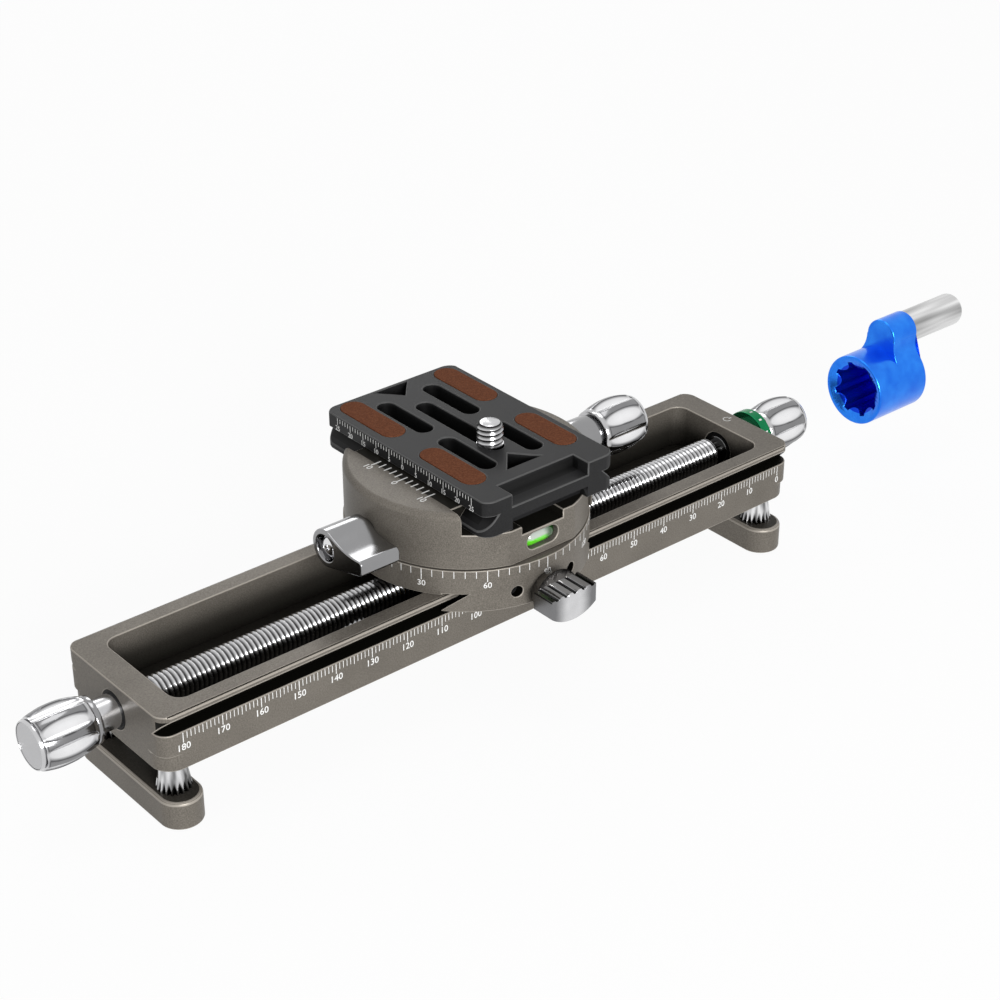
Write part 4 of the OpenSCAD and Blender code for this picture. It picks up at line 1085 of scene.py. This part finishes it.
dress_node("wing_screw_domed", head, "wing_screw", polished_head)

# %% [markdown]
# ## Scales and numbers
# The scales are engraved and filled with white paint. Engraving them would take a
# cut for every mark, so a line is a thin slat and a number is Blender's own text,
# made a mesh, and both stand 0.02 mm proud of the metal and reach as far into it.
# They are laid out flat, along and up, and then carried to their face, or rolled
# round the carriage's base.

# %% Lay out marks
PROUD = 0.02
LETTER_SHARE, LETTER_BOLD = 0.70, 0.012


def slat(shape, along, low, high, width):
    size = Matrix.Diagonal((width * MM, (high - low) * MM, 2 * PROUD * MM, 1))
    place = Matrix.Translation((along * MM, (low + high) / 2 * MM, 0))
    bmesh.ops.create_cube(shape, size=1, matrix=place @ size)


def number(shape, value, along, up, height):
    letters = bpy.data.curves.new("number", "FONT")
    letters.body = str(value)
    letters.align_x = letters.align_y = "CENTER"
    letters.size = height / LETTER_SHARE * MM
    letters.extrude = PROUD * MM
    letters.offset = LETTER_BOLD * height * MM
    letters.resolution_u = 3
    holder = bpy.data.objects.new("number", letters)
    mesh = bpy.data.meshes.new_from_object(holder)
    other = bmesh.new()
    other.from_mesh(mesh)
    bmesh.ops.remove_doubles(other, verts=other.verts, dist=0.0002 * MM)
    join_into(shape, other, Matrix.Translation((along * MM, up * MM, 0)))
    bpy.data.objects.remove(holder)
    bpy.data.curves.remove(letters)
    bpy.data.meshes.remove(mesh)


def face_at(right, up, origin):
    right, up = Vector(right), Vector(up)
    rows = Matrix((right, up, right.cross(up))).transposed().to_4x4()
    return Matrix.Translation(Vector(origin) * MM) @ rows


def print_on(name, shape, place, carrier):
    bmesh.ops.transform(shape, matrix=place, verts=shape.verts)
    piece(name, shape, paint, carrier, (), 20)


# %% [markdown]
# ## The rail's millimetre scale
# A line every millimetre hangs from the groove's lower edge, longer at the fives
# and the tens, and the numbers 0 to 180 run towards the left end. The photographer
# reads each step of the carriage on it, so it is drawn in true millimetres.

# %% Rail scale
SCALE_ZERO, SCALE_TOP, NUMBERS_UP = 90.3, 9.3, 5.6
rail_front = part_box("rail_body")[0].y / MM
marks = bmesh.new()
for value in range(181):
    ten = value % 10 == 0
    length = 2.5 if ten else 2.1 if value % 5 == 0 else 1.7
    slat(marks, SCALE_ZERO - value, SCALE_TOP - length, SCALE_TOP, 0.2 if ten else 0.16)
for value in range(0, 181, 10):
    number(marks, value, SCALE_ZERO - value, NUMBERS_UP, 1.65)
print_on("rail_scale", marks, face_at((1, 0, 0), (0, 0, 1), (0, rail_front, 0)), "rail_body")

# %% [markdown]
# ## The carriage's degree ring
# The base carries a line every 5 degrees, with a number at each 30. Everything is
# laid out along a straight band first, and then each point's distance along the
# band becomes an angle round the base.

# %% Degree ring
low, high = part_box("carriage_base")
ring_r, seam = (high.x - low.x) / 2 / MM, high.z / MM
ring_x = middle_of("carriage_base").x
marks = bmesh.new()
for degrees in range(0, 360, 5):
    length, width = (3.0, 0.2) if degrees % 30 == 0 else (1.9, 0.17)
    slat(marks, math.radians(degrees) * ring_r, seam - length, seam - 0.12, width)
for degrees in range(0, 360, 30):
    number(marks, degrees, math.radians(degrees) * ring_r, seam - 3.95, 1.45)
for vert in marks.verts:
    turn = vert.co.x / (ring_r * MM) - math.pi / 2
    out = ring_r * MM + vert.co.z
    vert.co = Vector((ring_x * MM + out * math.sin(turn), -out * math.cos(turn), vert.co.y))
print_on("degree_ring", marks, Matrix.Identity(4), "carriage_base")

# %% [markdown]
# ## The clamp's two small scales
# The fixed jaw has eleven lines with 10, 0 and 10, and the plate's side facing it
# has a line each millimetre up to 25 either way, to centre the camera. Each scale
# stays on its own piece, so that they slide along each other with the plate.

# %% Jaw scale
jaw_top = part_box("pan_body")[1].z / MM
marks = bmesh.new()
for step in range(-10, 11, 2):
    slat(marks, step, -16.8 if step % 10 == 0 else -16.1, -13.9, 0.34)
for step in (-10, 0, 10):
    number(marks, abs(step), step, -17.8, 1.7)
print_on("jaw_scale", marks, face_at((0, -1, 0), (1, 0, 0), (0, 0, jaw_top)), "pan_body")

# %% Plate scale
PLATE_HALF = 19.4
plate_middle = middle_of("qr_plate")
plate_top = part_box("qr_plate")[1].z / MM
plate_side = (plate_middle.x - PLATE_HALF, plate_middle.y, 0)
marks = bmesh.new()
for step in range(-25, 26):
    length = 1.9 if step % 5 == 0 else 1.1
    slat(marks, step, plate_top - 0.4 - length, plate_top - 0.4, 0.17)
for step in range(-25, 26, 5):
    number(marks, abs(step), step, plate_top - 3.15, 1.25)
print_on("plate_scale", marks, face_at((0, -1, 0), (0, 0, 1), plate_side), "qr_plate")

# %% [markdown]
# ## The dial and the turning sign
# The green dial has short pale bars round it, rolled up like the degree ring. The
# rail's end carries a small open circle with an arrow head, the sign for turning,
# which is a square section spun through most of a circle.

# %% Dial bars
low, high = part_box("dial_ring")
dial_r, dial_x = (high.z - low.z) / 2 / MM, middle_of("dial_ring").x
marks = bmesh.new()
for degrees in range(0, 360, 30):
    slat(marks, math.radians(degrees) * dial_r, -0.45, 0.45, 0.5)
for vert in marks.verts:
    turn = vert.co.x / (dial_r * MM)
    out = dial_r * MM + vert.co.z
    vert.co = Vector((dial_x * MM + vert.co.y, out * math.sin(turn),
                      screw_z * MM + out * math.cos(turn)))
print_on("dial_bars", marks, Matrix.Identity(4), "dial_ring")

# %% Turning sign
SIGN_IN, SIGN_OUT, SIGN_AT = 0.9, 1.12, (92, 0.8)
sign = bmesh.new()
corners = ((SIGN_IN, -PROUD), (SIGN_OUT, -PROUD), (SIGN_OUT, PROUD), (SIGN_IN, PROUD))
section = sign.faces.new([sign.verts.new((r * MM, 0, w * MM)) for r, w in corners])
bmesh.ops.spin(sign, geom=[section], cent=(0, 0, 0), axis=(0, 0, 1), angle=math.radians(290),
               steps=40, use_merge=False, use_duplicate=False)
bmesh.ops.recalc_face_normals(sign, faces=sign.faces)
arrow = bmesh.new()
bmesh.ops.create_cone(arrow, cap_ends=True, segments=3, radius1=0.6 * MM, radius2=0.6 * MM,
                      depth=2 * PROUD * MM)
join_into(sign, arrow, Matrix.Translation((1.0 * MM, 0.1 * MM, 0)))
rail_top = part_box("rail_body")[1].z / MM
print_on("turning_sign", sign, face_at((1, 0, 0), (0, 1, 0), (*SIGN_AT, rail_top)), "rail_body")

# %% [markdown]
# ## The floor and the backdrop
# A product stands on a white sweep of paper that has no edge. More lamps could
# make it white, but they would wash out the object. So the rays that look, from
# the camera, a gloss or a clear body, are shown white, and all other rays meet the
# plain paper. The floor keeps a small part of its real shade for the shadow.

# %% White for the rays that look
def show_white(nodes, plain, white, share, ending):
    rays = nodes.all_outputs("LightPath")
    looking = rays["Is Camera Ray"] + rays["Is Glossy Ray"] + rays["Is Transmission Ray"]
    seen = nodes.node("MixShader", {}, {0: looking * share, 1: plain, 2: white})
    nodes.feed(nodes.tree.nodes[ending].inputs[0], seen)


# %% Floor
FLOOR_WHITE, FLOOR_GAP = 0.94, 0.2
floor_shape = bmesh.new()
bmesh.ops.create_grid(floor_shape, x_segments=1, y_segments=1, size=4.0)
bmesh.ops.translate(floor_shape, verts=floor_shape.verts, vec=(0, 0, cad_box[0].z - FLOOR_GAP * MM))
floor = bpy.data.objects.new("floor", to_mesh("floor", floor_shape))
bpy.context.scene.collection.objects.link(floor)
pale = Finish("pale_floor", 0.9)
pale.set("Base Color", grey(0.86))
show_white(pale, Value(pale, pale.shader.outputs[0]), pale.node("Emission"), FLOOR_WHITE,
           "Material Output")
floor.data.materials.append(pale.material)
print("floor", round(cad_box[0].z / MM, 2), "mm")

# %% [markdown]
# ## The world
# The world is the even light that walls and ceiling throw back. It is weak, so
# that hollows stay darker than ridges, and again white only for the rays that look.

# %% World
WORLD_LIGHT = 0.3
world = bpy.data.worlds.new("studio")
world.use_nodes = True
bpy.context.scene.world = world
studio = Nodes(world.node_tree)
even_light = world.node_tree.nodes["Background"]
studio.feed(even_light.inputs["Color"], grey(1.0))
studio.feed(even_light.inputs["Strength"], WORLD_LIGHT)
white = studio.node("Background", {}, {"Color": grey(1.0), "Strength": 1.0})
show_white(studio, Value(studio, even_light.outputs[0]), white, 1.0, "World Output")
print("world", world.name)


# %% [markdown]
# ## The lamps
# Three soft boxes stand as a photographer would place them: a large key at the
# front left, a weaker one overhead and one behind for the rims. Their size decides
# how soft the highlights on the chrome are, and their power is kept at a level at
# which a colour renders about as it is written.

# %% Lamps
LAMPS_AIM = (0.02, 0, 0.01)


def soft_box(name, place, size, power):
    data = bpy.data.lights.new(name, "AREA")
    data.shape = "SQUARE"
    data.size = size
    data.energy = power
    lamp = bpy.data.objects.new(name, data)
    lamp.location = place
    towards = Vector(LAMPS_AIM) - Vector(place)
    lamp.rotation_euler = towards.to_track_quat("-Z", "Y").to_euler()
    bpy.context.scene.collection.objects.link(lamp)
    print(name, power, "W")


soft_box("key", (-0.30, -0.85, 0.34), 0.35, 8.6)
soft_box("top", (0.10, 0.15, 0.95), 0.45, 1.3)
soft_box("back", (0.45, 0.75, 0.55), 0.35, 1.3)
bpy.context.scene.view_settings.view_transform = "Standard"
